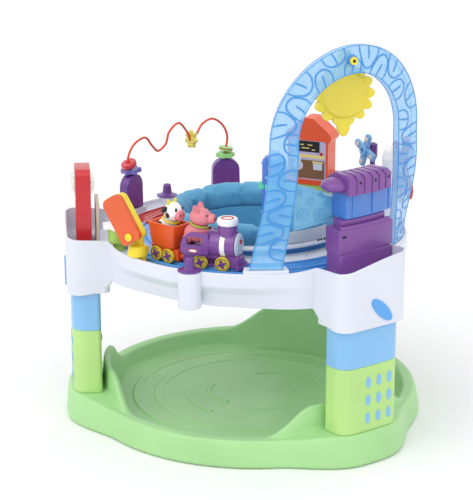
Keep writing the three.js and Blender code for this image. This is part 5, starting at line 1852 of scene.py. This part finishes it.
def make_back_tower():
    deg, radius = 66.6, 292
    place = at_rim(deg, radius)
    stand = Form().add(box(64, 40, DECK_Z + GAP, 351.8, 8))
    stand.add(box(70, 46, DECK_Z + GAP, DECK_Z + 6, 9))
    make(
        "house_foot", stand, [LIME_TOY], "table", ["house_stand"], bevel=1.6,
        place=place, sharp=40,
    )
    walls = [
        (-42, 352.4), (42, 352.4), (42, 438), (50, 446), (45, 457),
        (10, 486), (-10, 486), (-45, 457), (-50, 446), (-42, 438),
    ]
    house = Form().add(upright(prism(rounded(walls, 4, 4), -21.6, 21.6)), 0)
    frame_out = shifted(round_rect(82, 85, 6, 6, 6), 0, 402)
    frame_in = shifted(reversed(round_rect(76.4, 79, 4, 4, 6)), 0, 402)
    house.add(upright(prism(frame_out, 21, 22.6, [frame_in])), 0)
    for k in range(4):
        house.add(
            upright(
                prism(
                    [
                        (-34 + 7 * k, 461 + 5.6 * k), (34 - 7 * k, 461 + 5.6 * k),
                        (33 - 7 * k, 462.4 + 5.6 * k), (-33 + 7 * k, 462.4 + 5.6 * k),
                    ],
                    21.4, 22.2,
                )
            ),
            0,
        )
    make(
        "school_shell", house, [HOUSE_ORANGE], "table", ["school_house"], bevel=1.6,
        place=place, sharp=38,
    )

    picture = Form()
    picture.add(upright(prism(shifted(round_rect(64, 72, 4, 4, 6), 0, 399), 20.6, 21.8)), 0)
    parts = (
        (0, 424, 42, 20, 3, 22.0), (0, 406, 60, 6, 2, 22.0), (0, 382, 60, 34, 1, 22.0),
        (-10, 427, 7, 1.8, 2, 22.4), (4, 427, 9, 1.8, 2, 22.4), (-4, 421, 14, 1.8, 2, 22.4),
        (10, 418.5, 6, 1.8, 2, 22.4),
        (18, 388, 16, 12, 4, 22.4), (18, 396, 19, 3, 2, 22.5),
    )
    for x, z, wide, high, paint, front in parts:
        outline = shifted(round_rect(wide, high, 0.8, 0.8, 3), x, z)
        picture.add(upright(prism(outline, 21, front)), paint)
    for x, z, size, paint in (
        (-17, 388, 9, 4), (-17, 400, 6, 4), (-17, 398.4, 2.2, 2), (-17, 386, 5.4, 5),
        (24, 412, 3, 6), (-26, 412, 3, 7),
    ):
        picture.add(upright(rod(size, 21.4, 22.2 + 0.06 * size, 0.1, 28)), paint, move(x, 0, z))
    paints = [
        PICTURE_SKY, PICTURE_BROWN, PICTURE_CREAM, BLACK, FACE_GREY, TRIM_WHITE, RED, TRACK_BLUE,
    ]
    grown = place @ move(0, 0, 402) @ Matrix.Diagonal((1.18, 1, 1.09, 1)) @ move(0, 0, -399)
    make(
        "school_picture", picture, paints, "table", ["house_picture"], place=grown,
        sharp=40,
    )


def blade_form(length, width, thick):
    points = [
        Vector((p.x, p.y + length / 2))
        for p in round_rect(width, length, width / 2.3, width / 3, 6)
    ]
    return upright(prism(points, -thick / 2, thick / 2))


def make_propeller():
    deg, radius, high = 30, 260.5, 453
    place = at_rim(deg, radius)
    stem = Form()
    profile = [
        (0, DECK_Z + GAP), (FOOT_R, DECK_Z + GAP), (FOOT_R, DECK_Z + 9), (6, DECK_Z + 17), (5, 431),
        (9, 439), (9, 463), (0, 467),
    ]
    stem.add(turned(profile, 2, 4, 36), 0)
    stem.add(along_y(rod(3, -22, 0, 0.4, 24)), 0, move(0, 0, high))
    stem.add(along_y(rod(6.5, -12, 0, 0.5, 28)), 0, move(0, 0, high))
    make(
        "propeller_post", stem, [DEEP_PURPLE], "table", ["propeller_stem"], place=place,
        sharp=45,
    )
    blades = Form()
    for k in range(4):
        arm = moved(blade_form(34, 15, 7), turn_y(20 + 90 * k))
        blades.add(arm, 0)
        blades.add(
            upright(turned([(0, 3.2), (5, 3.2), (5, 4.6), (0, 4.6)], 0.7, 3, 28)), 1,
            turn_y(20 + 90 * k) @ move(0, 0, 24),
        )
        blades.add(
            upright(turned([(0, -4.6), (5, -4.6), (5, -3.2), (0, -3.2)], 0.7, 3, 28)), 1,
            turn_y(20 + 90 * k) @ move(0, 0, 24),
        )
    blades.add(along_y(hoop([(3.5, -8), (10, -8), (10, 4), (3.5, 4)], 1.6, 4, 36)), 0)
    make(
        "propeller_blades", blades, [SKY, CREAM], "propeller_body", ["propeller"],
        bevel=1.8, place=place @ move(0, -17, high), sharp=42,
    )


def make_mill():
    deg, radius, high = 9.5, 255, 434
    place = at_rim(deg, radius)
    tower = Form()
    profile = [
        (0, RIM_Z + 2), (18, RIM_Z + 2), (18, RIM_Z + 6), (15, 440), (16, 458), (12, 474), (5, 482),
        (0, 483),
    ]
    tower.add(turned(profile, 3, 5, 48), 0)
    tower.add(along_y(rod(3, 10, 26, 0.4, 24)), 0, move(0, 0, high))
    tower.add(along_y(rod(7, 8, 17.5, 0.8, 28)), 0, move(0, 0, high))
    tower.add(rod(FOOT_R, DECK_Z + GAP, RIM_Z + 4, 0.5, 36), 0, move(0, FOOT_AT - radius, 0))
    door = shifted(round_rect(14, 24, 6, 1, 6), 0, 366)
    tower.add(upright(prism(door, 14.4, 17.4)), 1)
    make(
        "mill_body", tower, [TRIM_WHITE, RED], "table", ["mill_tower"], bevel=0.8,
        place=place, sharp=42,
    )
    sails = Form()
    for k in range(4):
        arm = moved(blade_form(74, 36, 6), turn_y(25 + 90 * k))
        sails.add(arm, 0)
        for low in (24, 38, 52):
            bar = [(-13, low), (13, low), (13, low + 3), (-13, low + 3)]
            for near, far in ((2.8, 3.8), (-3.8, -2.8)):
                sails.add(upright(prism(bar, near, far)), 0, turn_y(25 + 90 * k))
    sails.add(along_y(hoop([(3.5, -5), (11, -5), (11, 5), (3.5, 5)], 1.4, 4, 36)), 1)
    make(
        "mill_sail_cross", sails, [RED, TRIM_WHITE], "mill_sails_body",
        ["mill_sails"], bevel=1.2, place=place @ move(0, 23, high), sharp=42,
    )


# ---------- room ----------


SKY_STRENGTH = 0.94
SKY_COLOUR = (0.99, 0.993, 1.0, 1)
FLOOR_COLOUR = (0.93, 0.93, 0.93, 1)
AREA_LAMPS = (
    ("key", (-1.7, -2.1, 2.9), 1.8, 16.0),
    ("fill", (2.4, -1.8, 1.7), 2.2, 5.0),
)
DAYLIGHT = 0.62
DAYLIGHT_ANGLE = 70
DAYLIGHT_TURN = (24, -18, 0)
LOOK_AT = (0, 0, 0.35)


def make_room():
    """A pale floor, even light from all round, soft daylight and two area lamps."""
    world = bpy.data.worlds.new("studio")
    world.use_nodes = True
    sky = world.node_tree.nodes["Background"]
    sky.inputs["Color"].default_value = SKY_COLOUR
    sky.inputs["Strength"].default_value = SKY_STRENGTH
    bpy.context.scene.world = world
    bpy.ops.mesh.primitive_plane_add(size=40, location=(0, 0, cad_low[2]))
    floor = bpy.context.object
    floor.name = "floor"
    paint = Paint("floor white")
    paint.shader.inputs["Base Color"].default_value = FLOOR_COLOUR
    paint.shader.inputs["Roughness"].default_value = 0.9
    floor.data.materials.append(paint.material)
    for name, where, size, power in AREA_LAMPS:
        lamp = bpy.data.lights.new(name, "AREA")
        lamp.energy = power
        lamp.size = size
        holder = bpy.data.objects.new(name, lamp)
        holder.location = where
        holder.rotation_euler = (
            Vector(LOOK_AT) - Vector(where)
        ).to_track_quat("-Z", "Y").to_euler()
        bpy.context.scene.collection.objects.link(holder)
    daylight = bpy.data.lights.new("daylight", "SUN")
    daylight.energy = DAYLIGHT
    daylight.angle = math.radians(DAYLIGHT_ANGLE)
    holder = bpy.data.objects.new("daylight", daylight)
    holder.rotation_euler = [math.radians(v) for v in DAYLIGHT_TURN]
    bpy.context.scene.collection.objects.link(holder)


LENS_MM = 133.39
SENSOR_MM = 36
CAMERA_AT = (-0.0325, -3.0980, 1.2510)
CAMERA_TILT = 72.983


def make_camera():
    lens = bpy.data.cameras.new("camera")
    lens.sensor_fit = "HORIZONTAL"
    lens.sensor_width = SENSOR_MM
    lens.lens = LENS_MM
    lens.clip_end = 100
    camera = bpy.data.objects.new("camera", lens)
    camera.location = CAMERA_AT
    camera.rotation_euler = (math.radians(CAMERA_TILT), 0, 0)
    bpy.context.scene.collection.objects.link(camera)
    bpy.context.scene.camera = camera
    bpy.context.scene.view_settings.view_transform = "Standard"


make_base()
make_table()
make_track()
make_seat_ring()
make_seat_pad()
make_seat_sling()
make_arch()
make_tunnel()
make_loco()
make_wagon()
make_gate()
make_bead_run()
make_pegs()
make_left_tower()
make_back_tower()
make_propeller()
make_mill()
make_room()
make_camera()
